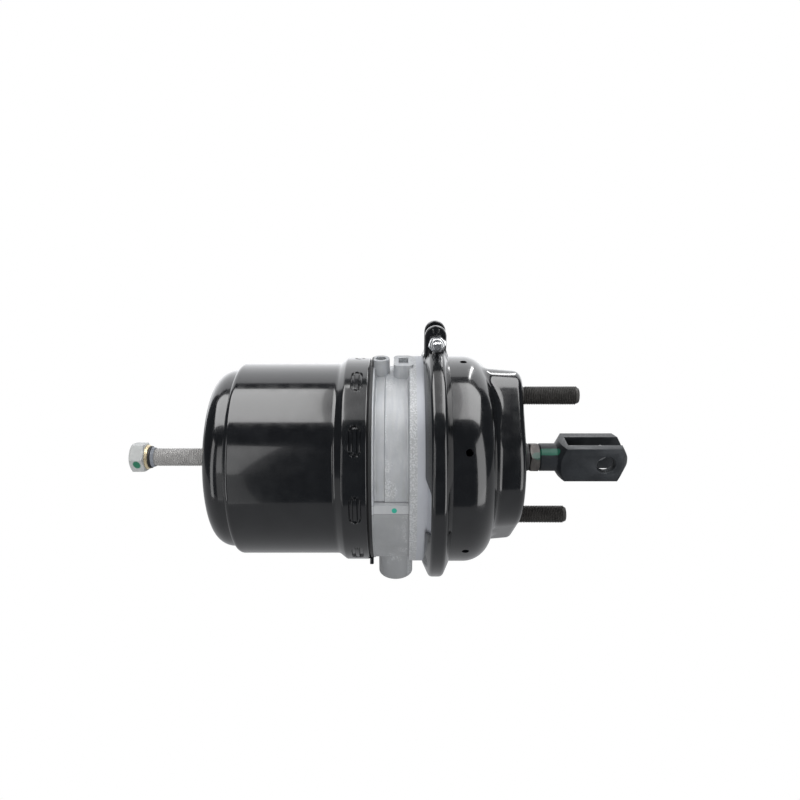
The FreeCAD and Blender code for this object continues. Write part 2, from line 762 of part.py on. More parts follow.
# Guide bush and lip seal that the piston tube runs in, and the ring that seals the crimped register.
ring_body(
    "guide_bush",
    [
        ("x_bush", "tube_radius + running"),
        ("x_bush", "tube_radius + loose"),
        ("x_bush + bush_length", "tube_radius + loose"),
        ("x_bush + bush_length", "tube_radius + running"),
    ],
)
ring_body(
    "tube_seal",
    [
        ("x_web_left", "tube_radius + running"),
        ("x_web_left", "tube_radius + loose"),
        ("x_web_left + seal_section", "tube_radius + loose"),
        ("x_web_left + seal_section", "tube_radius + running"),
    ],
)
ring_body(
    "housing_seal",
    [
        ("x_groove + 0.2", "register_radius - seal_section + running", "1"),
        ("x_groove + 0.2", "crimp_bore - running", "1"),
        ("x_groove + seal_section + 0.2", "crimp_bore - running", "1"),
        ("x_groove + seal_section + 0.2", "register_radius - seal_section + running", "1"),
    ],
)

# Moulded diaphragm: a bead held in the clamped joint and a dished membrane lying on the flange.
ring_body(
    "diaphragm",
    [
        ("x_flange_face", "lip_radius - 1"),
        ("x_housing_lip", "lip_radius - 1"),
        ("x_housing_lip", "service_radius - service_wall - 1"),
        ("x_flange_face + membrane", "dish_outer - soft_gap"),
        ("x_membrane + membrane", "dish_inner - 2", "6"),
        ("x_membrane + membrane", "0"),
        ("x_membrane", "0"),
        ("x_membrane", "dish_inner - 2", "8"),
        ("x_flange_face", "dish_outer - 1.5"),
    ],
)

# Push plate with an upturned rim, and the rod that is welded to it.
ring_body(
    "push_plate",
    [
        ("x_plate", "0"),
        ("x_plate", "plate_radius", "plate_thickness + 1"),
        ("x_plate + plate_rim", "plate_radius + 1"),
        ("x_plate + plate_rim", "plate_radius + 1 - plate_thickness"),
        ("x_rod", "plate_radius - plate_thickness", "1"),
        ("x_rod", "0"),
    ],
)
ring_body(
    "push_rod",
    [
        ("x_rod", "0"),
        ("x_rod", "rod_base_radius"),
        ("x_rod + rod_base_length - 4", "rod_base_radius"),
        ("x_rod + rod_base_length", "rod_radius"),
        ("x_clevis + clevis_thread_depth - 2", "rod_radius"),
        ("x_clevis + clevis_thread_depth - 1", "rod_radius - 1"),
        ("x_clevis + clevis_thread_depth - 1", "0"),
    ],
)
helix_body(
    "return_spring",
    "x_rod + return_wire / 2 + soft_gap",
    "return_large_radius",
    "return_wire",
    "return_height",
    4.5,
    cone="-atan((return_large_radius - return_small_radius) / return_height)",
)

# Rubber boot that fills the hole in the face, held by its flange inside, with a collar round the rod.
ring_body(
    "rod_boot",
    [
        ("0 - service_wall - 2.5", "rod_hole_radius - 4"),
        ("0 - service_wall - 2.5", "boot_flange_radius"),
        ("0 - service_wall", "boot_flange_radius"),
        ("0 - service_wall", "rod_hole_radius - running"),
        ("1.5", "rod_hole_radius - running", "1"),
        ("5", "boot_collar_radius", "2"),
        ("boot_reach", "boot_collar_radius", "1"),
        ("boot_reach", "rod_radius + running"),
        ("2", "rod_radius + running"),
        ("0 - 1", "rod_hole_radius - 4"),
    ],
)

lock_nut = hex_piece("lock_nut", "lock_across_flats", "lock_nut_height", "rod_radius + running")
placed(lock_nut, x="x_lock_nut", axis=Vector(1, 0, 0), angle=-23)

# Clevis: square bar turned down to a round neck, slotted and cross-drilled, both ends of the square turned conical.
clevis = new_body("clevis")
square_sketch = outline(
    new_sketch(clevis, "square", "YZ_Plane", "x_clevis_square"),
    [
        ("0 - clevis_square / 2", "0 - clevis_square / 2"),
        ("clevis_square / 2", "0 - clevis_square / 2"),
        ("clevis_square / 2", "clevis_square / 2"),
        ("0 - clevis_square / 2", "clevis_square / 2"),
    ],
)
extruded(clevis, "bar", square_sketch, "clevis_length - clevis_neck_length")
turned(
    clevis,
    "neck",
    [
        ("x_clevis", "0"),
        ("x_clevis", "clevis_neck_radius - 1"),
        ("x_clevis + 1", "clevis_neck_radius"),
        ("x_clevis_square + 1", "clevis_neck_radius"),
        ("x_clevis_square + 1", "0"),
    ],
)
corner = "clevis_square * 0.72"
turned(
    clevis,
    "shoulder_cone",
    [
        ("x_clevis_square - 0.5", "clevis_neck_radius"),
        ("x_clevis_square", "clevis_neck_radius"),
        (f"x_clevis_square + ({corner} - clevis_neck_radius) * 0.65", corner),
        ("x_clevis_square - 0.5", corner),
    ],
    cut=True,
)
turned(
    clevis,
    "nose_cone",
    [
        ("x_clevis_tip", "clevis_nose_radius"),
        (f"x_clevis_tip - ({corner} - clevis_nose_radius) * 0.8", corner),
        ("x_clevis_tip + 1", corner),
        ("x_clevis_tip + 1", "clevis_nose_radius"),
    ],
    cut=True,
)
slot_sketch = outline(
    new_sketch(clevis, "slot_outline", "XY_Plane"),
    [
        ("x_slot", "0 - clevis_slot / 2", "2"),
        ("x_clevis_tip + 1", "0 - clevis_slot / 2"),
        ("x_clevis_tip + 1", "clevis_slot / 2"),
        ("x_slot", "clevis_slot / 2", "2"),
    ],
)
extruded(clevis, "slot", slot_sketch, "clevis_square + 2", cut=True, middle=True)
pin_hole = circle(new_sketch(clevis, "pin_circle", "XZ_Plane"), "x_pin", "0", "clevis_pin_radius")
extruded(clevis, "pin_hole", pin_hole, "clevis_square + 2", cut=True, middle=True)
thread_hole = circle(new_sketch(clevis, "thread_circle", "YZ_Plane", "x_clevis - 1"), "0", "0", "rod_radius + running")
extruded(clevis, "thread_hole", thread_hole, "clevis_thread_depth + 1", cut=True, flip=True)

# Spring housing: deep-drawn cup with a stepped dome, flared and crimped over the flange.
can = new_body("spring_housing")
turned(
    can,
    "can",
    [
        ("x_body_end", "0"),
        ("x_body_end", "dome_radius", "dome_edge"),
        ("x_body_end + dome_length", "dome_radius", "dome_step / 5"),
        ("x_body_end + dome_length", "spring_radius", "dome_step * 0.74"),
        ("x_flange_left - crimp_flare", "spring_radius", "4"),
        ("x_flange_left", "crimp_radius", "4"),
        ("x_flange_seat - 0.6", "crimp_radius", "1.5"),
        ("x_flange_seat - 0.6", "crimp_bore"),
        ("x_flange_left - 0.4", "crimp_bore"),
        ("x_flange_left - 0.4", "spring_bore + 0.8"),
        ("x_flange_left - 2", "spring_bore"),
        ("x_body_end + dome_length + spring_wall + 2", "spring_bore", "dome_step * 0.4"),
        ("x_body_end + dome_length + spring_wall", "dome_radius - spring_wall", "2"),
        ("x_end_wall", "dome_radius - spring_wall", "dome_edge - spring_wall"),
        ("x_end_wall", "0"),
    ],
)
pocket_sketch = outline(
    new_sketch(can, "pocket_outline", "XZ_Plane", "crimp_radius"),
    [
        ("x_pocket - pocket_width / 2", "0 - pocket_length / 2", "pocket_width / 2 - 0.05"),
        ("x_pocket + pocket_width / 2", "0 - pocket_length / 2", "pocket_width / 2 - 0.05"),
        ("x_pocket + pocket_width / 2", "pocket_length / 2", "pocket_width / 2 - 0.05"),
        ("x_pocket - pocket_width / 2", "pocket_length / 2", "pocket_width / 2 - 0.05"),
    ],
)
outline(
    pocket_sketch,
    [
        ("x_pocket - tongue_width / 2", "0 - pocket_length / 2 + 3"),
        ("x_pocket + tongue_width / 2", "0 - pocket_length / 2 + 3"),
        ("x_pocket + tongue_width / 2", "pocket_length / 2 - 3"),
        ("x_pocket - tongue_width / 2", "pocket_length / 2 - 3"),
    ],
)
pocket = extruded(can, "crimp_pocket", pocket_sketch, "pocket_depth", cut=True)
polar(can, "crimp_pockets", pocket, "pocket_count")
bush_hole = circle(
    new_sketch(can, "bush_hole_circle", "YZ_Plane", "x_end_wall + 1"), "0", "0", "release_bush_radius + running"
)
extruded(can, "bush_hole", bush_hole, "spring_wall + 3", cut=True)
tab_sketch = outline(
    new_sketch(can, "tab_outline", "XY_Plane", "tab_reach", "tab_turn"),
    [
        ("x_flange_seat - 2.6", "0 - tab_length / 2"),
        ("x_flange_seat - 2.6 + tab_thickness", "0 - tab_length / 2"),
        ("x_flange_seat - 2.6 + tab_thickness", "tab_length / 2"),
        ("x_flange_seat - 2.6", "tab_length / 2"),
    ],
)
extruded(can, "tab", tab_sketch, "tab_reach - crimp_radius + 2", flip=True)

# Threaded bush welded into the end of the can.
ring_body(
    "release_bush",
    [
        ("x_bush_left", "release_radius + running"),
        ("x_bush_left", "release_bush_radius", "1"),
        ("x_end_wall", "release_bush_radius"),
        ("x_end_wall", "release_bush_radius + 4"),
        ("x_end_wall + 5", "release_bush_radius + 4"),
        ("x_bush_left + release_bush_length", "release_bush_radius - 2"),
        ("x_bush_left + release_bush_length", "release_radius + running"),
    ],
)

# Parking spring, held compressed between the end of the can and the piston.
helix_body(
    "power_spring",
    "x_end_wall + spring_wire / 2 + soft_gap",
    "spring_mean_radius",
    "spring_wire",
    "spring_space - spring_wire - 2 * soft_gap",
    3.1,
)

# Spring piston with its seal and guide ring, drawn back as far as it goes.
ring_body(
    "spring_piston",
    [
        ("x_tube_left", "tube_radius + running"),
        ("x_tube_left", "piston_hub_radius", "1"),
        ("x_crown", "piston_hub_radius", "3"),
        ("x_crown", "piston_radius - skirt_wall", "4"),
        ("x_crown - piston_skirt", "piston_radius - skirt_wall + 2"),
        ("x_crown - piston_skirt", "piston_radius", "1"),
        ("x_crown - piston_skirt + 6", "piston_radius"),
        ("x_crown - piston_skirt + 6", "piston_radius - 2"),
        ("x_crown - piston_skirt + 14", "piston_radius - 2"),
        ("x_crown - piston_skirt + 14", "piston_radius"),
        ("x_crown", "piston_radius"),
        ("x_crown", "piston_radius - seal_section + 0.5"),
        ("x_crown + seal_section", "piston_radius - seal_section + 0.5"),
        ("x_crown + seal_section", "piston_radius"),
        ("x_crown + crown_thickness", "piston_radius"),
        ("x_crown + crown_thickness", "tube_radius + running"),
    ],
)
ring_body(
    "piston_guide_ring",
    [
        ("x_crown - piston_skirt + 6.2", "piston_radius - 2"),
        ("x_crown - piston_skirt + 6.2", "spring_bore - running"),
        ("x_crown - piston_skirt + 13.8", "spring_bore - running"),
        ("x_crown - piston_skirt + 13.8", "piston_radius - 2"),
    ],
)
ring_body(
    "piston_seal",
    [
        ("x_crown + 0.2", "piston_radius - seal_section + 0.6", "1.2"),
        ("x_crown + 0.2", "spring_bore - running", "1.2"),
        ("x_crown + seal_section - 0.2", "spring_bore - running", "1.2"),
        ("x_crown + seal_section - 0.2", "piston_radius - seal_section + 0.6", "1.2"),
    ],
)
ring_body(
    "piston_tube",
    [
        ("x_tube_left", "release_radius + 1"),
        ("x_tube_left", "tube_radius"),
        ("x_cap", "tube_radius"),
        ("x_cap", "tube_radius - tube_wall"),
        ("x_tube_left + tube_web", "tube_radius - tube_wall"),
        ("x_tube_left + tube_web", "release_radius + 1"),
    ],
)
ring_body(
    "tube_cap",
    [
        ("x_cap - cap_plug", "0"),
        ("x_cap - cap_plug", "tube_radius - tube_wall - running"),
        ("x_cap", "tube_radius - tube_wall - running"),
        ("x_cap", "tube_radius"),
        ("x_web_right", "tube_radius", "1.5"),
        ("x_web_right", "0"),
    ],
)

# Release bolt, wound out: hexagon, washer, seal ring and collar outside, thrust ring in the tube.
release_bolt = ring_body(
    "release_bolt",
    [
        ("x_release_nut + 0.8", "0"),
        ("x_release_nut + 0.8", "release_radius - 1.2"),
        ("x_release_nut + 2", "release_radius"),
        ("x_thrust + thrust_ring_length + 5", "release_radius"),
        ("x_thrust + thrust_ring_length + 6", "release_radius - 1"),
        ("x_thrust + thrust_ring_length + 6", "0"),
    ],
)
release_nut = hex_piece("release_nut", "release_across_flats", "release_nut_height", "release_radius + running")
placed(release_nut, x="x_release_nut", axis=Vector(1, 0, 0), angle=-2)
ring_body(
    "release_washer",
    [
        ("x_washer", "release_radius + running"),
        ("x_washer", "washer_radius", "0.5"),
        ("x_seal_ring", "washer_radius", "0.5"),
        ("x_seal_ring", "release_radius + running"),
    ],
)
ring_body(
    "release_seal_ring",
    [
        ("x_seal_ring", "release_radius + running"),
        ("x_seal_ring", "seal_ring_radius", "0.8"),
        ("x_collar", "seal_ring_radius", "0.8"),
        ("x_collar", "release_radius + running"),
    ],
)
ring_body(
    "release_collar",
    [
        ("x_collar", "release_radius + running"),
        ("x_collar", "collar_radius"),
        ("x_collar + collar_length", "release_radius + 0.4"),
        ("x_collar + collar_length", "release_radius + running"),
    ],
)
ring_body(
    "thrust_ring",
    [
        ("x_thrust", "release_radius + running"),
        ("x_thrust", "thrust_ring_radius", "1"),
        ("x_thrust + thrust_ring_length", "thrust_ring_radius", "1"),
        ("x_thrust + thrust_ring_length", "release_radius + running"),
    ],
)

doc.recompute()
for thing in doc.Objects:
    if "Invalid" in thing.State or "Error" in thing.State:
        raise RuntimeError(f"{thing.Label} failed: {thing.State}")
pieces = [thing for thing in doc.Objects if thing.TypeId == "PartDesign::Body"]
os.makedirs("parts", exist_ok=True)
for piece in pieces:
    shape = piece.Shape
    if shape.isNull() or not shape.isValid():
        raise RuntimeError(f"{piece.Label} has no valid shape")
    print(f"{piece.Label:22s} solids {len(shape.Solids)} volume {shape.Volume:12.1f}")
    shape.exportStep(os.path.join("parts", piece.Label + ".step"))
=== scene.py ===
import math

import bmesh
import bpy
from mathutils import Matrix, Vector


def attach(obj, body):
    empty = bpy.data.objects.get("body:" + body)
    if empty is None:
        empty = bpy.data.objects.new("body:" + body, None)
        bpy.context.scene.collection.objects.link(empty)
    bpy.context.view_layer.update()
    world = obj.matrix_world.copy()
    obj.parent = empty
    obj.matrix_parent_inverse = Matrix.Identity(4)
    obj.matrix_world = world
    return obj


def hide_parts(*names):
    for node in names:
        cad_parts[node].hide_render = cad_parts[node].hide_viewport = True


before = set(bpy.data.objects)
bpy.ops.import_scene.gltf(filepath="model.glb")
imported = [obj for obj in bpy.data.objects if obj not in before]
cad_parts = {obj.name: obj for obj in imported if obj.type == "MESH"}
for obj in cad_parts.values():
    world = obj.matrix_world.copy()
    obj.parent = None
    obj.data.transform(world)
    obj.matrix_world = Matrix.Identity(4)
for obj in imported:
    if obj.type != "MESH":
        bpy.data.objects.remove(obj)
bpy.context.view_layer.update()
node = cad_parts

# The studio: a camera above the chamber's axis, level with its middle, white paper below and behind, soft
# boxes overhead, at both front corners and behind, which the black paint mirrors with the dark room between
# them, and two fill lights, which it doesn't mirror. All of it stands free and is no part of the chamber.
camera = bpy.data.objects.new("camera", bpy.data.cameras.new("camera"))
camera.data.lens = 31.05
camera.data.sensor_width = 36
camera.location = (-0.1039, -0.5519, 0.2935)
camera.rotation_euler = (math.radians(66.72), 0, 0)
bpy.context.collection.objects.link(camera)
bpy.context.scene.camera = camera
bpy.context.scene.view_settings.view_transform = "Standard"


def glow(tree, target, strength, tint):
    """Link an even glow to an output: plain white to the camera's own rays, as given to all the rest."""
    kind = "ShaderNodeBackground" if target.bl_idname == "ShaderNodeOutputWorld" else "ShaderNodeEmission"
    seen, other = tree.nodes.new(kind), tree.nodes.new(kind)
    seen.inputs["Strength"].default_value = 1.0
    seen.inputs["Color"].default_value = (1, 1, 1, 1)
    other.inputs["Strength"].default_value = strength
    other.inputs["Color"].default_value = (*tint, 1)
    ray = tree.nodes.new("ShaderNodeLightPath")
    choose = tree.nodes.new("ShaderNodeMixShader")
    tree.links.new(ray.outputs["Is Camera Ray"], choose.inputs[0])
    tree.links.new(other.outputs[0], choose.inputs[1])
    tree.links.new(seen.outputs[0], choose.inputs[2])
    tree.links.new(choose.outputs[0], target.inputs["Surface"])


world = bpy.data.worlds.new("studio_air")
bpy.context.scene.world = world
world.use_nodes = True
world.node_tree.nodes.clear()
glow(world.node_tree, world.node_tree.nodes.new("ShaderNodeOutputWorld"), 0.10, (0.86, 0.93, 1))


def soft_box(name, place, aim, width, height, radiance, mirrored=True):
    """Rectangular soft box facing its aim, either mirrored by the gloss or lighting the matt colours."""
    light = bpy.data.objects.new(name, bpy.data.lights.new(name, "AREA"))
    light.data.shape = "RECTANGLE"
    light.data.size = width
    light.data.size_y = height
    light.data.energy = radiance * math.pi * width * height
    light.location = place
    light.rotation_euler = (Vector(aim) - Vector(place)).to_track_quat("-Z", "Y").to_euler()
    light.visible_diffuse = not mirrored
    light.visible_glossy = mirrored
    bpy.context.collection.objects.link(light)


MIDDLE, FACE_TOP = (-0.11, 0, 0), (-0.012, -0.007, 0.081)
soft_box("box_over_left", (-0.60, -0.013, 0.85), (-0.60, -0.014, 0), 0.69, 0.71, 5.4)
soft_box("box_over_gap", (-0.122, -0.013, 0.86), (-0.122, -0.014, 0), 0.27, 0.71, 1.1)
soft_box("box_over_right", (0.38, -0.013, 0.85), (0.38, -0.014, 0), 0.73, 0.71, 5.4)
soft_box("box_left_far", (-1.05, -0.75, 0.15), MIDDLE, 0.30, 1.30, 2.3)
soft_box("box_left_high", (-0.53, -0.97, 0.45), MIDDLE, 0.22, 0.62, 1.9)
soft_box("box_left_low", (-0.53, -0.97, -0.15), MIDDLE, 0.22, 0.60, 0.7)
soft_box("box_right", (0.74, -0.71, 0.12), MIDDLE, 0.62, 1.30, 2.6)
soft_box("box_behind", (0.335, 0.96, 0.95), FACE_TOP, 0.08, 0.75, 12)
soft_box("fill_above", (-0.11, -0.40, 1.30), MIDDLE, 2.0, 1.4, 0.9, mirrored=False)
soft_box("fill_front", (-0.11, -1.90, -0.05), MIDDLE, 2.4, 1.6, 1.8, mirrored=False)

PAPER_HALF, FLOOR = 4.0, -0.62
for name, run, strength in (
    ("paper_floor", [(-1.36, FLOOR), (2.4, FLOOR)], 0.42),
    ("paper_backdrop", [(2.4, FLOOR), (3.0, -0.4), (3.2, 0.5), (3.2, 4.5)], 1.5),
):
    work = bmesh.new()
    line = [work.verts.new((-PAPER_HALF, y, z)) for y, z in run]
    for near, far in zip(line, line[1:]):
        work.edges.new((near, far))
    swept = bmesh.ops.extrude_edge_only(work, edges=work.edges[:])["geom"]
    far_side = [part for part in swept if isinstance(part, bmesh.types.BMVert)]
    bmesh.ops.translate(work, verts=far_side, vec=(2 * PAPER_HALF, 0, 0))
    sheet = bpy.data.objects.new(name, bpy.data.meshes.new(name))
    work.to_mesh(sheet.data)
    work.free()
    bpy.context.collection.objects.link(sheet)
    paper = bpy.data.materials.new(name)
    paper.use_nodes = True
    sheet.data.materials.append(paper)
    glow(paper.node_tree, paper.node_tree.nodes["Material Output"], strength, (0.97, 0.98, 1))

# Spring housing: the left-hand can, deep-drawn from 3 mm steel with a stepped end, its mouth
# flared and crimped over the casting. Ten stamped slots with a tongue in each lock the crimp.
# It is dipped in gloss black paint after pressing, which runs softly over every edge.


def mask_group(name, **sockets):
    """Shader node group with the given inputs and one mask output, together with its two end nodes."""
    made = bpy.data.node_groups.new(name, "ShaderNodeTree")
    for socket, kind in sockets.items():
        made.interface.new_socket(socket, in_out="INPUT", socket_type="NodeSocket" + kind)
    made.interface.new_socket("Mask", in_out="OUTPUT", socket_type="NodeSocketFloat")
    return made, made.nodes.new("NodeGroupInput").outputs, made.nodes.new("NodeGroupOutput").inputs


def placed(tree, group, **values):
    """The mask of a group placed in a material with its own values."""
    made = tree.nodes.new("ShaderNodeGroup")
    made.node_tree = group
    for socket, value in values.items():
        made.inputs[socket].default_value = value
    return made.outputs["Mask"]


grain, given, back = mask_group("surface_grain", Size="Float", Stretch="Vector")
where = grain.nodes.new("ShaderNodeTexCoord")
squeeze = grain.nodes.new("ShaderNodeVectorMath")
squeeze.operation = "MULTIPLY"
cloud = grain.nodes.new("ShaderNodeTexNoise")
cloud.inputs["Detail"].default_value = 4
grain.links.new(where.outputs["Object"], squeeze.inputs[0])
grain.links.new(given["Stretch"], squeeze.inputs[1])
grain.links.new(squeeze.outputs[0], cloud.inputs["Vector"])
grain.links.new(given["Size"], cloud.inputs["Scale"])
grain.links.new(cloud.outputs["Fac"], back["Mask"])


def grain_mask(tree, size, stretch=(1, 1, 1)):
    """The grain placed in a material at one size."""
    return placed(tree, grain, Size=size, Stretch=stretch)


def ramp(tree, mask, low, high, start=0.35, end=0.65):
    """A mask spread over two values or two colours."""
    if isinstance(low, tuple):
        mix = tree.nodes.new("ShaderNodeValToRGB")
        for stop, place, colour in zip(mix.color_ramp.elements, (start, end), (low, high)):
            stop.position = place
            stop.color = (*colour, 1)
        tree.links.new(mask, mix.inputs[0])
        return mix.outputs[0]
    spread = tree.nodes.new("ShaderNodeMapRange")
    for side, value in (("From Min", start), ("From Max", end), ("To Min", low), ("To Max", high)):
        spread.inputs[side].default_value = value
    tree.links.new(mask, spread.inputs["Value"])
    return spread.outputs["Result"]


def finish(name, colour, other, metallic, rough, rough_other, coat=0.0, bump=0.1, size=500, drift=60):
    """Material whose colour drifts, whose gloss varies and whose surface has a fine grain."""
    made = bpy.data.materials.new(name)
    made.use_nodes = True
    tree = made.node_tree
    shader = tree.nodes["Principled BSDF"]
    shader.inputs["Metallic"].default_value = metallic
    shader.inputs["Coat Weight"].default_value = coat
    shader.inputs["Coat Roughness"].default_value = 0.05
    broad, fine = grain_mask(tree, drift), grain_mask(tree, size)
    tree.links.new(ramp(tree, broad, colour, other), shader.inputs["Base Color"])
    tree.links.new(ramp(tree, fine, rough, rough_other), shader.inputs["Roughness"])
    relief = tree.nodes.new("ShaderNodeBump")
    relief.inputs["Strength"].default_value = bump
    relief.inputs["Distance"].default_value = 0.0004
    tree.links.new(fine, relief.inputs["Height"])
    tree.links.new(relief.outputs[0], shader.inputs["Normal"])
    return made


def rounded_line(corners, eased_from):
    """Profile through (x, radius) corners in millimetres, a third number rounding the corner off.

    A straight longer than eased_from gets a point near each end, which keeps the shading of the roundings
    off it.
    """
    points = []
    for i, corner in enumerate(corners):
        here = Vector(corner[:2])
        if len(corner) == 2:
            points.append(here)
            continue
        before = Vector(corners[i - 1][:2]) - here
        after = Vector(corners[(i + 1) % len(corners)][:2]) - here
        before.normalize()
        after.normalize()
        half = before.angle(after) / 2
        centre = here + (before + after).normalized() * corner[2] / math.sin(half)
        start = here + before * corner[2] / math.tan(half) - centre
        sweep = math.pi - 2 * half
        if before.cross(after) > 0:
            sweep = -sweep
        steps = max(3, round(abs(sweep) / math.radians(8)))
        for k in range(steps + 1):
            points.append(centre + Matrix.Rotation(sweep * k / steps, 2) @ start)
    line = []
    for point, following in zip(points, points[1:]):
        line.append(point)
        gap = following - point
        if gap.length > eased_from:
            margin = gap * 0.6 / gap.length
            line += [point + margin, following - margin]
    return line + [points[-1]]


def turned(work, geom, degrees, steps, **how):
    """Spin part of a bmesh about the X axis."""
    angle = math.radians(degrees)
    bmesh.ops.spin(work, geom=geom, cent=(0, 0, 0), axis=(1, 0, 0), angle=angle, steps=steps, **how)


def spun(corners, steps, closed=False, degrees=360, eased_from=4.0):
    """Profile turned about the X axis, each vertex keeping its row in it; a part turn is centred below."""
    work = bmesh.new()
    row = work.verts.layers.int.new("row")
    line = []
    for i, (x, radius) in enumerate(rounded_line(corners, eased_from)):
        line.append(work.verts.new((x, 0, radius)))
        line[-1][row] = i
    pairs = list(zip(line, line[1:])) + ([(line[-1], line[0])] if closed else [])
    edges = [work.edges.new(pair) for pair in pairs]
    start = Matrix.Rotation(math.radians(180 - degrees / 2), 3, "X")
    bmesh.ops.rotate(work, verts=line, cent=(0, 0, 0), matrix=start)
    turned(work, line + edges, degrees, steps, use_merge=degrees == 360)
    bmesh.ops.remove_doubles(work, verts=work.verts, dist=1e-4)
    return work


def piece(name, work, body, material, replaces=None, sharp=35):
    """Finish a bmesh drawn in millimetres as a smooth-shaded object in metres, hiding the solid that it
    replaces.
    """
    bmesh.ops.recalc_face_normals(work, faces=work.faces)
    bmesh.ops.scale(work, vec=(0.001, 0.001, 0.001), verts=work.verts)
    for face in work.faces:
        face.smooth = True
    for edge in work.edges:
        edge.smooth = len(edge.link_faces) == 2 and edge.calc_face_angle() < math.radians(sharp)
    made = bpy.data.objects.new(name, bpy.data.meshes.new(name))
    work.to_mesh(made.data)
    work.free()
    bpy.context.collection.objects.link(made)
    made.data.materials.append(material)
    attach(made, body)
    if replaces:
        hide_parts(replaces)
    return made


def smooth_step(value, start, end):
    """0 before start, 1 after end, eased between them."""
    t = min(1.0, max(0.0, (value - start) / (end - start)))
    return t * t * (3 - 2 * t)


gloss_black = finish(
    "gloss_black_paint", (0.0050, 0.0055, 0.0070), (0.0080, 0.0088, 0.0105), 0.0, 0.13, 0.19,
    coat=0.5, bump=0.05, size=120,
)
SHEET, BUSH_R = 3.0, 14.0
CAN_END, CAN_STEP, FLARE_START, FLARE_END, CAN_MOUTH = -264.2, -243.5, -156.0, -149.5, -129.8
END_R, SIDE_R, CRIMP_R, CRIMP_WALL = 78.4, 84.4, 89.5, 2.9
SLOTS, SLOT_X, SLOT_DEPTH, SLOT_RIM = 10, -139.4, 1.6, 0.1
SLOT_HALVES, TONGUE_HALVES = (12.4, 4.6), (10.4, 1.9)
ROW = 0.4
slot_rows = [(SLOT_X + ROW * (i - 13.5), CRIMP_R) for i in range(28)]
can = spun(
    [
        (CAN_END + SHEET, BUSH_R + 0.1),
        (CAN_END, BUSH_R + 0.1),
        (CAN_END, END_R, 16),
        (CAN_STEP, END_R, 1.2),
        (CAN_STEP, SIDE_R, 4.4),
        (FLARE_START, SIDE_R, 5),
        (FLARE_END, CRIMP_R, 3),
        *slot_rows,
        (CAN_MOUTH, CRIMP_R, 1.4),
        (CAN_MOUTH, CRIMP_R - CRIMP_WALL),
        (FLARE_END - 0.3, CRIMP_R - CRIMP_WALL),
        (FLARE_START + 4, SIDE_R - SHEET),
        (CAN_STEP + 5, SIDE_R - SHEET),
        (CAN_STEP + SHEET, END_R - SHEET),
        (CAN_END + SHEET, END_R - SHEET, 13),
    ],
    steps=90,
    closed=True,
    degrees=360 / SLOTS,
)
# One tenth of the can is stamped, then repeated.
for vert in can.verts:
    across = abs(vert.co.x - SLOT_X)
    radius = math.hypot(vert.co.y, vert.co.z)
    if across > 6 or radius < CRIMP_R - 0.5:
        continue
    bearing = math.degrees(math.atan2(vert.co.z, -vert.co.y)) % (360 / SLOTS)
    along = radius * math.radians(min(bearing, 360 / SLOTS - bearing))
    outside, beside = [
        math.hypot(across, max(0.0, along - length + width)) - width
        for length, width in (SLOT_HALVES, TONGUE_HALVES)
    ]
    depth = SLOT_DEPTH * smooth_step(-outside, -0.3, 0.5) * smooth_step(beside, -0.4, 0.4)
    depth -= SLOT_RIM * math.exp(-((outside / 0.5) ** 2))
    vert.co.yz *= (radius - depth) / radius
turned(can, can.verts[:] + can.edges[:] + can.faces[:], 360 - 360 / SLOTS, SLOTS - 1, use_duplicate=True)
bmesh.ops.remove_doubles(can, verts=can.verts, dist=1e-3)
piece("spring_housing_shell", can, "chamber", gloss_black, "spring_housing")


def block(low, high):
    """Closed box between two corners."""
    work = bmesh.new()
    bmesh.ops.create_cube(work, size=1)
    size = [b - a for a, b in zip(low, high)]
    bmesh.ops.scale(work, vec=size, verts=work.verts)
    bmesh.ops.translate(work, vec=[(a + b) / 2 for a, b in zip(low, high)], verts=work.verts)
    return work


def moved(work, x=0.0, y=0.0, z=0.0, turn=0.0, axis="X"):
    """Turn a bmesh about an axis through the origin, then shift it."""
    matrix = Matrix.Rotation(math.radians(turn), 3, axis)
    bmesh.ops.rotate(work, verts=work.verts, cent=(0, 0, 0), matrix=matrix)
    bmesh.ops.translate(work, verts=work.verts, vec=(x, y, z))
    return work


def eased(work, offset, sharper_than=30, segments=2):
    """Round off the sharp edges of a closed bmesh."""
    limit = math.radians(sharper_than)
    rims = [edge for edge in work.edges if len(edge.link_faces) == 2 and edge.calc_face_angle() > limit]
    bmesh.ops.bevel(
        work,
        geom=rims,
        offset=offset,
        offset_type="OFFSET",
        segments=segments,
        profile=0.5,
        affect="EDGES",
        clamp_overlap=True,
        material=-1,
    )
    return work


TAB_HALF, TAB_FOOT, TAB_REACH, TAB_TURN = 3.5, 86.7, 94.2, 58
tab = block((CAN_MOUTH - 0.4, -TAB_REACH, -TAB_HALF), (CAN_MOUTH + 2.8, -TAB_FOOT, TAB_HALF))
tab = moved(eased(tab, 0.6), turn=TAB_TURN)
piece("spring_housing_tab", tab, "chamber", gloss_black)

# Release bolt, wound right out to cage the parking spring: a threaded bar with a grey zinc coat,
# a light hexagon nut on its end, a yellow-passivated washer, a rubber ring and a plastic cone
# against which it seals once it is screwed home. The bush welded into the can guides it.


def threaded(work, start, end, radius, pitch, depth, steps=28):
    """Add a rolled thread about the X axis: one pitch of its outline wound forwards to the end."""
    root = radius - depth * pitch
    outline = [(0, root), (0.44 * pitch, radius), (0.56 * pitch, radius), (pitch, root)]
    line = [work.verts.new((start + x, 0, r)) for x, r in outline]
    edges = [work.edges.new(pair) for pair in zip(line, line[1:])]
    others = set(work.verts) - set(line)
    turns = math.floor((end - start) / pitch) - 1
    turned(work, line + edges, 360 * turns, steps * turns, dvec=(pitch / steps, 0, 0))
    bmesh.ops.remove_doubles(work, verts=[vert for vert in work.verts if vert not in others], dist=1e-3)


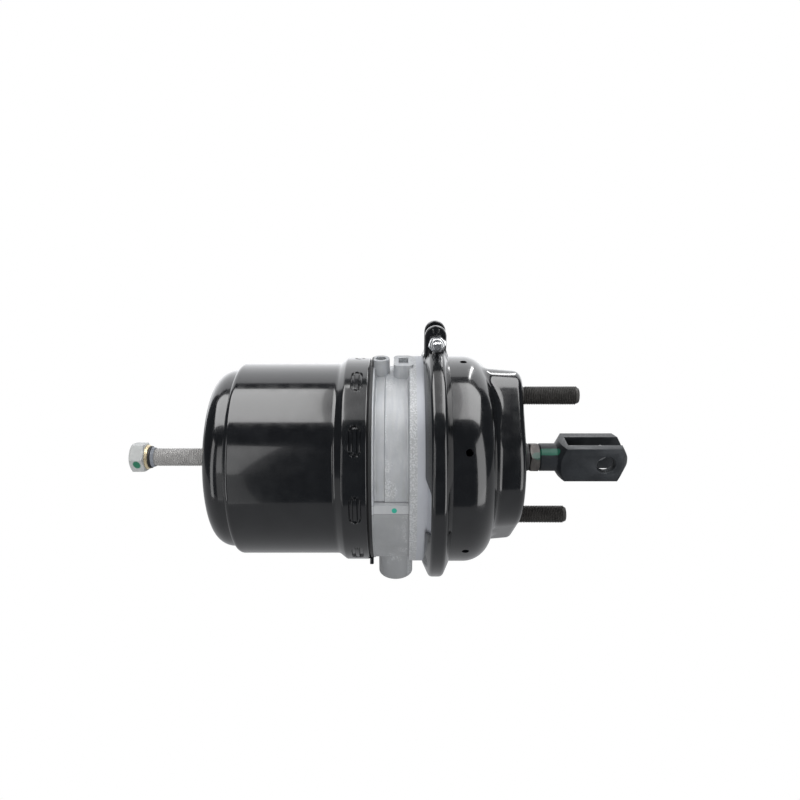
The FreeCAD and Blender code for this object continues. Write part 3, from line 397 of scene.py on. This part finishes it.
def bar(corners, thread, radius, pitch, steps=48, depth=0.61):
    """Turned bar with a thread wound over its thinner core between two places."""
    work = spun(corners, steps)
    threaded(work, *thread, radius, pitch, depth)
    return work


def nut(across_flats, height, bore):
    """Hexagon nut along X from 0, a corner along Y, both ends turned to a chamfer, its bore countersunk."""
    half, flat, sink = across_flats / 2, 0.475 * across_flats, 0.9
    rise = [(sink, bore), (0, bore + sink), (0, flat), (1, half)]
    work = spun(rise + [(height - x, r) for x, r in reversed(rise)], 72, closed=True, eased_from=100)
    row = work.verts.layers.int["row"]
    for vert in work.verts:
        if vert[row] not in (3, 4):
            continue
        bearing = math.degrees(math.atan2(vert.co.z, vert.co.y))
        reach = half / math.cos(math.radians(bearing % 60 - 30))
        drop = (reach - flat) * math.tan(math.radians(30))
        vert.co.yz *= reach / half
        vert.co.x = drop if vert[row] == 3 else height - drop
    return work


dab, given, back = mask_group("paint_patch", Centre="Vector", Half="Vector")
point = dab.nodes.new("ShaderNodeTexCoord")
from_centre, scaled, far = [dab.nodes.new("ShaderNodeVectorMath") for _ in range(3)]
from_centre.operation, scaled.operation, far.operation = "SUBTRACT", "DIVIDE", "LENGTH"
ragged = dab.nodes.new("ShaderNodeTexNoise")
ragged.inputs["Scale"].default_value = 700
sway = dab.nodes.new("ShaderNodeMath")
sway.operation = "MULTIPLY_ADD"
sway.inputs[1].default_value = 0.7
dab.links.new(point.outputs["Object"], from_centre.inputs[0])
dab.links.new(given["Centre"], from_centre.inputs[1])
dab.links.new(from_centre.outputs[0], scaled.inputs[0])
dab.links.new(given["Half"], scaled.inputs[1])
dab.links.new(scaled.outputs[0], far.inputs[0])
dab.links.new(ragged.outputs["Fac"], sway.inputs[0])
dab.links.new(far.outputs["Value"], sway.inputs[2])
dab.links.new(ramp(dab, sway.outputs[0], 0.0, 1.0, 1.45, 1.25), back["Mask"])


def laid_over(material, mask, colour):
    """Lay a colour over a material's own where a mask says."""
    tree = material.node_tree
    base = tree.nodes["Principled BSDF"].inputs["Base Color"]
    over = tree.nodes.new("ShaderNodeMix")
    over.data_type = "RGBA"
    over.inputs["B"].default_value = (*colour, 1)
    tree.links.new(mask, over.inputs["Factor"])
    tree.links.new(base.links[0].from_socket, over.inputs["A"])
    tree.links.new(over.outputs["Result"], base)


def painted(material, centre, half, colour):
    """Put a hand-dabbed paint mark on a material, centre and half sizes in millimetres."""
    tree = material.node_tree
    metallic = tree.nodes["Principled BSDF"].inputs["Metallic"]
    mark = placed(tree, dab, Centre=[0.001 * c for c in centre], Half=[0.001 * h for h in half])
    laid_over(material, mark, colour)
    tree.links.new(ramp(tree, mark, metallic.default_value, 0.0, 0, 1), metallic)


bolt_zinc = finish(
    "release_bolt_zinc", (0.43, 0.42, 0.41), (0.52, 0.51, 0.50), 0.2, 0.45, 0.6,
    bump=0.06, size=700, drift=90,
)
nut_zinc = finish(
    "release_nut_zinc", (0.54, 0.55, 0.54), (0.61, 0.62, 0.61), 0.12, 0.36, 0.48,
    bump=0.08, size=600, drift=120,
)
painted(nut_zinc, (-337.7, -11.9, -1.6), (3.3, 3.0, 4.4), (0.02, 0.20, 0.11))
yellow_zinc = finish(
    "washer_yellow_zinc", (0.70, 0.56, 0.33), (0.86, 0.74, 0.50), 0.6, 0.26, 0.32,
    bump=0.02, size=200, drift=90,
)
ring_rubber = finish(
    "ring_rubber", (0.010, 0.010, 0.011), (0.018, 0.018, 0.019), 0.0, 0.45, 0.6,
    bump=0.2, size=900,
)
cone_plastic = finish(
    "cone_plastic", (0.24, 0.26, 0.30), (0.32, 0.34, 0.38), 0.0, 0.4, 0.5,
    bump=0.1, size=500,
)
plain_steel = finish(
    "plain_steel", (0.32, 0.32, 0.33), (0.42, 0.42, 0.43), 0.9, 0.3, 0.45,
    bump=0.1, size=600,
)
M16_R, CLEAR = 8.0, 0.05
BORE = M16_R + CLEAR
NUT_X, NUT_HEIGHT, WASHER, SEAL, CONE = -344.5, 13.0, 2.5, 2.1, 2.9
WASHER_X = NUT_X + NUT_HEIGHT
SEAL_X = WASHER_X + WASHER
CONE_X = SEAL_X + SEAL
BOLT_START, BOLT_END = -343.7, -214.8
screw = bar(
    [
        (BOLT_START, 0),
        (BOLT_START, 6.7),
        (BOLT_START + 1.5, M16_R, 0.5),
        (BOLT_START + 2.1, 7.2),
        (BOLT_END - 1.2, 7.2),
        (BOLT_END, 5.5),
        (BOLT_END, 0),
    ],
    (BOLT_START + 1.5, BOLT_END - 1.2),
    M16_R,
    2.0,
    depth=0.4,
)
piece("release_bolt_thread", screw, "screw", bolt_zinc, "release_bolt", sharp=25)
hexagon = moved(nut(24, NUT_HEIGHT, BORE), x=NUT_X, turn=-15)
piece("release_nut_hexagon", hexagon, "screw", nut_zinc, "release_nut", sharp=20)
washer = [(WASHER_X, BORE), (WASHER_X, 11.2, 0.4), (SEAL_X, 10.4, 0.8), (SEAL_X, BORE)]
seal = [(SEAL_X, BORE), (SEAL_X, 10.0, 0.8), (CONE_X, 10.0, 0.8), (CONE_X, BORE)]
cone = [(CONE_X, BORE), (CONE_X, 9.3, 0.4), (CONE_X + CONE, 8.4), (CONE_X + CONE, BORE)]
for name, corners, slot, material, stands_for in (
    ("release_washer_disc", washer, "yellow_zinc", yellow_zinc, "release_washer"),
    ("release_seal_round", seal, "ring_rubber", ring_rubber, "release_seal_ring"),
    ("release_cone", cone, "collar_plastic", cone_plastic, "release_collar"),
):
    piece(name, spun(corners, 72, closed=True), "screw", material, stands_for)
BUSH_X, BUSH_END = CAN_END - 1.5, -250.0
bush = [(BUSH_X, BORE), (BUSH_X, BUSH_R, 1), (CAN_END + SHEET, BUSH_R), (BUSH_END, 12), (BUSH_END, BORE)]
bush = spun(bush, 72, closed=True)
piece("release_bush_turned", bush, "chamber", plain_steel, "release_bush")

# Intermediate flange: a die casting in dull grey aluminium, its rims and clamping lip machined.
# It carries the air ports on bosses below and two lugs on top. The skin left by the die is
# mottled, with fine pits and flow marks, the pits lightened by painted glints. A painted shadow
# darkens the band under the can's mouth, painted shade darkens the lower block, and a dot of
# green paint shows it was inspected.
slab, given, back = mask_group("slab_mask", Along="Vector", Start="Float", End="Float")
place, reach = slab.nodes.new("ShaderNodeTexCoord"), slab.nodes.new("ShaderNodeVectorMath")
past, short, both = [slab.nodes.new("ShaderNodeMath") for _ in range(3)]
reach.operation = "DOT_PRODUCT"
past.operation, short.operation, both.operation = "GREATER_THAN", "LESS_THAN", "MULTIPLY"
slab.links.new(place.outputs["Object"], reach.inputs[0])
slab.links.new(given["Along"], reach.inputs[1])
for side, limit in ((past, "Start"), (short, "End")):
    slab.links.new(reach.outputs["Value"], side.inputs[0])
    slab.links.new(given[limit], side.inputs[1])
slab.links.new(past.outputs[0], both.inputs[0])
slab.links.new(short.outputs[0], both.inputs[1])
slab.links.new(both.outputs[0], back["Mask"])
LENGTHWISE, UPWARD = (1, 0, 0), (0, 0, 1)


def slab_mask(tree, start, end, along=LENGTHWISE):
    """Mask of the part of a piece between two places along one direction, in millimetres."""
    return placed(tree, slab, Along=along, Start=0.001 * start, End=0.001 * end)


def worked(tree, operation, first, second):
    """One arithmetic step between a mask and another mask or a number."""
    step = tree.nodes.new("ShaderNodeMath")
    step.operation = operation
    tree.links.new(first, step.inputs[0])
    if isinstance(second, (int, float)):
        step.inputs[1].default_value = second
    else:
        tree.links.new(second, step.inputs[1])
    return step.outputs[0]


cast = finish(
    "cast_aluminium", (0.40, 0.41, 0.415), (0.52, 0.53, 0.54), 0.25, 0.40, 0.56,
    bump=0.35, size=420, drift=42,
)
GAP_SHADOW_END, BODY_END, ROUGH_START, TURNED_START = -126.2, -96.9, -96.6, -90.4
FACET_LOW, FACET_HIGH, FACET_RIM = -5.0, 3.2, 0.3
tree = cast.node_tree
body = slab_mask(tree, GAP_SHADOW_END, BODY_END)
# The first mask marks the band under the can's mouth, painted almost black as a painted shadow in the gap
# between can and casting.
gap_shadow, rough_strip = slab_mask(tree, -160, GAP_SHADOW_END), slab_mask(tree, ROUGH_START, TURNED_START)
turned_strip = slab_mask(tree, TURNED_START, -60)
facet = worked(tree, "MULTIPLY", slab_mask(tree, FACET_LOW, FACET_HIGH, UPWARD), body)
# Below the facet the body is laid over with darker grey: painted shade on the lower block.
shade_below = worked(tree, "MULTIPLY", slab_mask(tree, -200, FACET_LOW, UPWARD), body)
low_rim, high_rim = [
    slab_mask(tree, height - FACET_RIM, height + FACET_RIM, UPWARD) for height in (FACET_LOW, FACET_HIGH)
]
rims = worked(tree, "MULTIPLY", worked(tree, "ADD", low_rim, high_rim), body)
blotch = ramp(tree, grain_mask(tree, 34, (1.6, 1, 1)), 0.0, 1.0, 0.52, 0.60)
blotch = worked(tree, "MULTIPLY", blotch, slab_mask(tree, -116, -97.5))
# Where the skin is pitted, the pits roughen the bump and are lightened in colour as painted glints.
pit_and_glint_area = worked(tree, "MAXIMUM", blotch, rough_strip)
pits_and_glints = worked(tree, "MULTIPLY", ramp(tree, grain_mask(tree, 800), 0.0, 1.0, 0.46, 0.60), pit_and_glint_area)
flow = ramp(tree, grain_mask(tree, 60, (7, 1, 1)), 0.0, 1.0, 0.4, 0.62)
# In this list the dark grey below the facet is painted shade, the light pits are painted glints, and the
# near-black band is a painted shadow in the gap under the can's mouth.
for mask, colour, share in (
    (flow, (0.44, 0.455, 0.48), 0.7),
    (facet, (0.53, 0.54, 0.55), 0.6),
    (shade_below, (0.27, 0.275, 0.28), 0.6),
    (rims, (0.20, 0.20, 0.21), 0.7),
    (rough_strip, (0.42, 0.43, 0.44), 0.5),
    (pits_and_glints, (0.74, 0.75, 0.76), 0.5),
    (turned_strip, (0.49, 0.505, 0.55), 0.7),
    (gap_shadow, (0.012, 0.012, 0.013), 0.97),
):
    laid_over(cast, worked(tree, "MULTIPLY", mask, share), colour)
height = tree.nodes["Principled BSDF"].inputs["Normal"].links[0].from_node.inputs["Height"]
uneven = worked(tree, "ADD", worked(tree, "MULTIPLY", height.links[0].from_socket, 0.6), pits_and_glints)
tree.links.new(worked(tree, "MULTIPLY", uneven, ramp(tree, turned_strip, 1.0, 0.0, 0, 1)), height)
painted(cast, (-108.4, -86.5, -1.8), (2.1, 3, 2.2), (0.02, 0.42, 0.30))


def coated(name, material):
    """Give a solid of the frame, which keeps its shape, its own material."""
    node[name].data.materials.clear()
    node[name].data.materials.append(material)


coated("intermediate_flange", cast)

# Clamp ring: one strip of steel pressed to a V, wrapped round the joint and drawn together by
# one bolt through the two ears at the top. Its skirts are cut back at both sides, where only
# the crown is left, so that it can be sprung open over the lips. Painted black like the cups.
CROWN, FOOT, RING_X = 104.6, 92.3, -73.5
CROWN_HALF, FOOT_HALF, RING_WALL, SKIRT_WALL = 5.3, 11.0, 2.2, 2.43
LEAN = math.tan(math.radians(25))
SKIRT_CUT, RING_GAP = 9.2, 5.5
EAR_Y, EAR_WALL, EAR_R, EAR_TOP, EAR_X = 9.0, 4.0, 8.9, 116.6, RING_X - 0.9


def ring_section(foot):
    """Closed section of the ring, its skirts ending at the given radius."""
    out = FOOT_HALF - (foot - FOOT) * LEAN
    inside = CROWN_HALF - 1.4
    return [
        (RING_X - out, foot, 0.5),
        (RING_X - CROWN_HALF, CROWN, 4.0),
        (RING_X + CROWN_HALF, CROWN, 4.0),
        (RING_X + out, foot, 0.5),
        (RING_X + out - SKIRT_WALL, foot, 0.5),
        (RING_X + inside, CROWN - RING_WALL, 2.0),
        (RING_X - inside, CROWN - RING_WALL, 2.0),
        (RING_X - out + SKIRT_WALL, foot, 0.5),
    ]


strip = spun(ring_section(FOOT), steps=300, closed=True, degrees=360 - RING_GAP, eased_from=100)
row = strip.verts.layers.int["row"]
sections = {}
for vert in strip.verts:
    bearing = math.degrees(math.atan2(vert.co.z, abs(vert.co.y)))
    cut = 1 - (smooth_step(bearing, 10.5, 18.5) if bearing > 0 else smooth_step(-bearing, 9, 11.5))
    foot = round(FOOT + SKIRT_CUT * cut, 2)
    if foot not in sections:
        sections[foot] = rounded_line(ring_section(foot), 100)
    point = sections[foot][vert[row]]
    # Towards the ears the outer skin sweeps up into them, farther out in the middle than at the sides.
    across = abs(point.x - RING_X)
    outer = point.y > CROWN - 1.1 or across > 4.6 + (CROWN - 1.1 - point.y) * 0.464
    sweep = 1.5 + 13 * max(0.0, 1 - across / 9.8)
    gap = math.radians(90 - bearing) * CROWN - EAR_Y
    rise = sweep - math.sqrt(max(0.0, sweep**2 - (sweep - gap) ** 2)) if outer and gap < sweep else 0
    vert.co = (point.x, *(vert.co.yz.normalized() * (point.y + min(rise, 9))))
bmesh.ops.holes_fill(strip, edges=[edge for edge in strip.edges if edge.is_boundary], sides=0)
piece("clamp_ring_strip", strip, "chamber", gloss_black, "clamp_ring")


def plate(corners, front, thickness, bevel):
    """Flat plate from (x, z) corners, standing from Y = front towards the back, its rims rounded."""
    work = bmesh.new()
    face = work.faces.new([work.verts.new((x, front, z)) for x, z in corners])
    grown = bmesh.ops.extrude_face_region(work, geom=[face])["geom"]
    rear = [part for part in grown if isinstance(part, bmesh.types.BMVert)]
    bmesh.ops.translate(work, verts=rear, vec=(0, thickness, 0))
    return eased(work, bevel, 35, 3)


arch = []
for k in range(31):
    angle = math.radians(6 * k)
    arch.append((EAR_R * math.cos(angle), EAR_TOP + EAR_R * math.sin(angle)))
root = [(-EAR_R, 94.8), (-5.0, CROWN - 0.8), (5.0, CROWN - 0.8), (EAR_R, 94.8)]
outline = [(EAR_X + x, z) for x, z in arch + root]
for name, front in (("clamp_ear_front", -EAR_Y), ("clamp_ear_back", EAR_Y - EAR_WALL)):
    piece(name, plate(outline, front, EAR_WALL, 0.9), "chamber", gloss_black)
for side in (-1, 1):
    rib = [(-0.8, -1.9), (0.8, -1.9), (0.8, 1.9), (-0.8, 1.9)]
    rib = [(EAR_X + side * (2.3 + 0.22 * z) + x, EAR_TOP + 5 + z) for x, z in rib]
    rib = plate(rib, -EAR_Y - 0.9, 1.3, 0.7)
    piece(f"clamp_ear_rib_{side + 2}", rib, "chamber", gloss_black)


def joined(work, other):
    """Add a second bmesh, which is used up, to the first."""
    mesh = bpy.data.meshes.new("joining")
    other.to_mesh(mesh)
    other.free()
    work.from_mesh(mesh)
    bpy.data.meshes.remove(mesh)
    return work


bright_zinc = finish(
    "bright_zinc", (0.70, 0.71, 0.73), (0.82, 0.83, 0.84), 0.95, 0.14, 0.26,
    bump=0.06, size=500, drift=200,
)
M8_R, M8_FLATS, M8_HEAD, SHANK_END, CLAMP_Z = 4.0, 13.0, 5.3, 30.1, 111.9
# The nut has a plain round collar in front that holds its locking insert.
collar = spun([(6.4, 4.05), (6.4, 5.6), (8.6, 5.6, 1.2), (8.6, 4.05)], 48, closed=True)
clamp_nut = joined(moved(nut(M8_FLATS, 7.0, M8_R + CLEAR), turn=12), collar)
clamp_nut = moved(moved(clamp_nut, turn=-90, axis="Z"), RING_X, -EAR_Y, CLAMP_Z)
piece("clamp_nut_hexagon", clamp_nut, "chamber", bright_zinc, "clamp_nut", sharp=20)
head = [(-M8_HEAD, 0), (-M8_HEAD, 5.2), (0, 5.2)]
shank = [(0, 3.3), (SHANK_END - 0.8, 3.3), (SHANK_END, 2.8), (SHANK_END, 0)]
stem = bar(head + shank, (14, SHANK_END - 0.4), M8_R, 1.25, 32)
stem = joined(stem, moved(nut(M8_FLATS, M8_HEAD, 3.0), x=-M8_HEAD))
stem = moved(moved(stem, turn=-90, axis="Z"), RING_X, EAR_Y, CLAMP_Z)
piece("clamp_bolt_shank", stem, "chamber", bright_zinc, "clamp_bolt", sharp=25)

# Service housing: the right-hand cup, deep-drawn with a raised lozenge face for the studs and a
# soft root all round it, vents punched through its side. Gloss black paint as on the can.
NOSE_WIDE, NOSE_TIGHT, NOSE_EDGE, STUD_HALF = 62.0, 21.0, 6.5, 60.325
SHOULDER, SHOULDER_X, SHOULDER_R = 24.0, -49.5, 67.3
CUP_R = SHOULDER_R + SHOULDER
VENT_X, VENT_R, VENT_PATCH, VENTS = -50.0, 3.0, 4.5, 6
DRAFT, BOOT_HOLE_R, CUP_STEPS = math.radians(5), 22.0, 288
TAPER = math.tan(DRAFT)


def lozenge_reach(bearing, grow):
    """Distance from the axis to the lozenge's outline, grown by some millimetres, at one bearing."""
    bearing = abs(math.atan2(math.sin(bearing), math.cos(bearing)))
    bearing = min(bearing, math.pi - bearing)
    wide, tight = NOSE_WIDE + grow, NOSE_TIGHT + grow
    lean = math.asin((NOSE_WIDE - NOSE_TIGHT) / STUD_HALF)
    if bearing < lean:
        return wide
    if bearing < math.atan2(STUD_HALF + tight * math.sin(lean), tight * math.cos(lean)):
        return wide / math.cos(bearing - lean)
    return STUD_HALF * math.sin(bearing) + math.sqrt(tight**2 - (STUD_HALF * math.cos(bearing)) ** 2)


def shoulder_at(x):
    """Radius of the cup's side, and of the shoulder that it runs into, at one place along X."""
    return SHOULDER_R + math.sqrt(SHOULDER**2 - max(0.0, x - SHOULDER_X) ** 2)


def cup_profile(bearing):
    """Profile of the cup at one bearing, from lip to boot hole, always with as many points."""
    top = lozenge_reach(bearing, 0)
    slope = (lozenge_reach(bearing, 25 * TAPER) - top) / 25
    root = 6 + 9 * smooth_step(abs(math.sin(bearing)), 0.72, 0.97)
    # The root's centre lies one root radius off the wall and off the shoulder's arc.
    lift = top + root * math.hypot(1, slope) - SHOULDER_R
    a, b = 1 + slope**2, SHOULDER_X + slope * lift
    centre_x = (b + math.sqrt(b**2 - a * (SHOULDER_X**2 + lift**2 - (SHOULDER + root) ** 2))) / a
    centre_r = SHOULDER_R + lift - slope * centre_x
    meet = math.atan2(centre_r - SHOULDER_R, centre_x - SHOULDER_X)
    points = [(-71.0, 100.5), (-66.0, 100.0), (-64.5, 92.8), (-62.5, CUP_R), (-57.0, CUP_R)]
    for k in range(7):
        x = VENT_X + VENT_PATCH * (k - 3) / 3
        points.append((x, shoulder_at(x)))
    begin = math.acos((points[-1][0] - SHOULDER_X) / SHOULDER)
    for k in range(1, 14):
        angle = begin + (meet - begin) * k / 13
        points.append((SHOULDER_X + SHOULDER * math.cos(angle), SHOULDER_R + SHOULDER * math.sin(angle)))
    start, end = meet + math.pi, math.atan2(-1, -slope) % (2 * math.pi)
    for k in range(1, 11):
        angle = start + (end - start) * k / 10
        points.append((centre_x + root * math.cos(angle), centre_r + root * math.sin(angle)))
    edge_x = -NOSE_EDGE * (1 - math.sin(DRAFT))
    for k in range(1, 4):
        x = points[-1][0] + (edge_x - points[-1][0]) / (5 - k)
        points.append((x, top - slope * x))
    for k in range(12):
        angle = (math.pi / 2 - DRAFT) * (1 - k / 11)
        inward = NOSE_EDGE * (math.sin(angle) + TAPER - 1 / math.cos(DRAFT))
        points.append((NOSE_EDGE * (math.cos(angle) - 1), lozenge_reach(bearing, inward)))
    rim = points[-1][1]
    for k in range(1, 6):
        points.append((0.0, rim + (BOOT_HOLE_R - rim) * k / 5))
    return points


cup = spun(cup_profile(0), CUP_STEPS, eased_from=1000)
row = cup.verts.layers.int["row"]
profiles = {}
for vert in cup.verts:
    column = round(math.atan2(vert.co.z, -vert.co.y) / (2 * math.pi) * CUP_STEPS) % CUP_STEPS
    bearing = 2 * math.pi * column / CUP_STEPS
    if column not in profiles:
        profiles[column] = cup_profile(bearing)
    x, radius = profiles[column][vert[row]]
    vert.co = (x, -radius * math.cos(bearing), radius * math.sin(bearing))


def along_side(point, bearing):
    """Millimetres round the cup's side from a bearing to a point."""
    return math.remainder(math.atan2(point.z, -point.y) - bearing, 2 * math.pi) * CUP_R


for k in range(VENTS):
    middle = 2 * math.pi * (k + 0.5) / VENTS
    patch = []
    for face in cup.faces:
        centre = face.calc_center_median()
        if abs(centre.x - VENT_X) < VENT_PATCH and abs(along_side(centre, middle)) < 2 * VENT_R:
            patch.append(face)
    around = {edge for face in patch for edge in face.edges}
    bmesh.ops.delete(cup, geom=patch, context="FACES")
    rim = [edge for edge in around if edge.is_valid and edge.is_boundary]
    for vert in bmesh.ops.extrude_edge_only(cup, edges=rim)["geom"]:
        if not isinstance(vert, bmesh.types.BMVert):
            continue
        angle = math.atan2(along_side(vert.co, middle), vert.co.x - VENT_X)
        x, bearing = VENT_X + VENT_R * math.cos(angle), middle + VENT_R * math.sin(angle) / CUP_R
        vert.co = (x, -shoulder_at(x) * math.cos(bearing), shoulder_at(x) * math.sin(bearing))
shell = piece("service_housing_cup", cup, "chamber", gloss_black, "service_housing")
wall = shell.modifiers.new("sheet_thickness", "SOLIDIFY")
wall.thickness = 0.001 * SHEET
wall.offset = -1

# Two studs pressed through the raised face, M16 with a fine rolled thread and a dark phosphate
# coat. Their heads sit inside against the sheet, their tips are turned to a chamfer.
phosphate = finish(
    "stud_phosphate", (0.040, 0.038, 0.036), (0.060, 0.057, 0.054), 0.4, 0.42, 0.6,
    bump=0.2, size=900, drift=200,
)
STUD_HEAD_X, STUD_HEAD_R, STUD_END, STUD_CORE_R = -9.0, 11.5, 50.6, 7.1
for name, side in (("upper", 1), ("lower", -1)):
    stud = bar(
        [
            (STUD_HEAD_X, 0),
            (STUD_HEAD_X, STUD_HEAD_R, 0.8),
            (-SHEET, STUD_HEAD_R),
            (-SHEET, 8.6),
            (0, 8.6),
            (0, M16_R),
            (2.5, M16_R),
            (3.2, STUD_CORE_R),
            (STUD_END - 1.5, STUD_CORE_R),
            (STUD_END, 6.3),
            (STUD_END, 0),
        ],
        (2.6, STUD_END - 0.4),
        M16_R,
        1.5,
    )
    moved(stud, z=side * STUD_HALF)
    stands_for = f"mounting_stud_{name}"
    piece(f"stud_{name}_thread", stud, "chamber", phosphate, stands_for, sharp=25)

# Rod boot: a dust cover moulded in rubber, buttoned into the hole of the face from inside. Its
# collar grips the rod behind the lock nut.
boot_rubber = finish(
    "boot_rubber", (0.012, 0.012, 0.013), (0.02, 0.02, 0.021), 0.0, 0.42, 0.6,
    bump=0.2, size=800,
)
BOOT_R, NECK_R, BOOT_FOOT, BOOT_END = BOOT_HOLE_R - 0.1, 12.4, -5.5, 11.4
boot = spun(
    [
        (BOOT_FOOT, 18),
        (BOOT_FOOT, 26, 0.8),
        (-SHEET, 26),
        (-SHEET, BOOT_R),
        (1.5, BOOT_R, 1),
        (5, NECK_R, 2),
        (BOOT_END, NECK_R, 1),
        (BOOT_END, BORE),
        (2, BORE),
        (-1, 18),
    ],
    96,
    closed=True,
)
piece("rod_boot_moulding", boot, "chamber", boot_rubber, "rod_boot")

# Clevis and lock nut: the fork is milled from square bar whose ends are turned to a cone, with a
# round neck, then blackened. The lock nut has a thin brownish phosphate coat. A stripe of green
# paint down the neck and nut shows that they have not turned.


def carved(work, tool, how):
    """Boolean of two closed bmeshes, which are both used up."""
    pair = []
    for shape in (work, tool):
        bmesh.ops.recalc_face_normals(shape, faces=shape.faces)
        mesh = bpy.data.meshes.new("carving")
        shape.to_mesh(mesh)
        shape.free()
        pair.append(bpy.data.objects.new("carving", mesh))
        bpy.context.collection.objects.link(pair[-1])
    meet = pair[0].modifiers.new("meet", "BOOLEAN")
    meet.operation, meet.solver, meet.object = how, "EXACT", pair[1]
    result = bmesh.new()
    result.from_object(pair[0], bpy.context.evaluated_depsgraph_get())
    for shape in pair:
        mesh = shape.data
        bpy.data.objects.remove(shape)
        bpy.data.meshes.remove(mesh)
    return result


def lathe(corners, steps=96):
    """Sharp-cornered turned shape, to carve with."""
    return spun(corners, steps, eased_from=100)


dark_steel = finish(
    "clevis_dark_steel", (0.017, 0.0195, 0.023), (0.027, 0.0305, 0.035), 0.35, 0.34, 0.5,
    bump=0.2, size=500, drift=80,
)
painted(dark_steel, (28.5, -8.1, 9.5), (22, 3.2, 3.2), (0.018, 0.14, 0.09))
brown_steel = finish(
    "lock_nut_phosphate", (0.075, 0.070, 0.068), (0.12, 0.112, 0.106), 0.7, 0.36, 0.5,
    bump=0.25, size=600, drift=150,
)
painted(brown_steel, (18.5, -10.6, 6.6), (5.5, 3.4, 3.4), (0.05, 0.12, 0.095))
FORK_START, FORK_END, FORK_HALF, FORK_R = 35.7, 98.4, 16.0, 23.04
GAP_START, GAP_HALF, PIN_X, PIN_R, PIN_CHAMFER = 44.4, 8.0, 78.0, 8.0, 0.8
NECK_START, NECK_R, ROD_END = 20.7, 12.5, 46.0
lock = moved(nut(24, NECK_START - BOOT_END - 0.3, BORE), x=BOOT_END + 0.3, turn=-23)
piece("lock_nut_hexagon", lock, "rod", brown_steel, "lock_nut", sharp=20)
cones = lathe(
    [(FORK_START, 0), (FORK_START, NECK_R), (42.55, FORK_R), (89.2, FORK_R), (FORK_END, 9.0), (FORK_END, 0)]
)
square = block((FORK_START, -FORK_HALF, -FORK_HALF), (FORK_END, FORK_HALF, FORK_HALF))
neck = lathe([(NECK_START, 0), (NECK_START, NECK_R - 1), (NECK_START + 1, NECK_R), (37, NECK_R), (37, 0)])
opening = block((GAP_START, -GAP_HALF, -20), (100, GAP_HALF, 20))
outside, chamfer_x = 20.0, FORK_HALF - PIN_CHAMFER
flare = PIN_R + outside - chamfer_x
pin_bore = [(-outside, 0), (-outside, flare), (-chamfer_x, PIN_R)]
pin_bore += [(-x, radius) for x, radius in reversed(pin_bore)]
pin_bore = moved(moved(lathe(pin_bore, 72), turn=90, axis="Z"), x=PIN_X)
rod_bore = lathe([(20, 0), (20, BORE), (ROD_END, BORE), (ROD_END, 0)], 72)
fork = carved(square, cones, "INTERSECT")
fork = carved(fork, neck, "UNION")
for tool in (opening, pin_bore, rod_bore):
    fork = carved(fork, tool, "DIFFERENCE")
bmesh.ops.remove_doubles(fork, verts=fork.verts, dist=0.01)
fork = eased(fork, 0.35, 22)
piece("clevis_fork", fork, "rod", dark_steel, "clevis", sharp=20)

# Inside, unseen from outside: the pressed push plate and its rod, the coiled springs, the cast
# spring piston on its tube, and the rubber and plastic rings that guide and seal them.
inner_rubber = finish(
    "inner_rubber", (0.015, 0.015, 0.016), (0.03, 0.03, 0.031), 0.0, 0.5, 0.7,
    bump=0.3, size=700,
)
spring_coat = finish(
    "spring_coat", (0.02, 0.025, 0.04), (0.04, 0.045, 0.06), 0.3, 0.35, 0.5,
    bump=0.1, size=500,
)
bearing_plastic = finish(
    "bearing_plastic", (0.6, 0.58, 0.5), (0.7, 0.68, 0.6), 0.0, 0.4, 0.5,
    bump=0.1, size=500,
)
for material, names in (
    (inner_rubber, ("diaphragm", "tube_seal", "housing_seal", "piston_seal")),
    (bearing_plastic, ("guide_bush", "piston_guide_ring")),
    (plain_steel, ("push_plate", "push_rod", "piston_tube", "tube_cap", "thrust_ring")),
    (spring_coat, ("return_spring", "power_spring")),
    (cast, ("spring_piston",)),
):
    for name in names:
        coated(name, material)
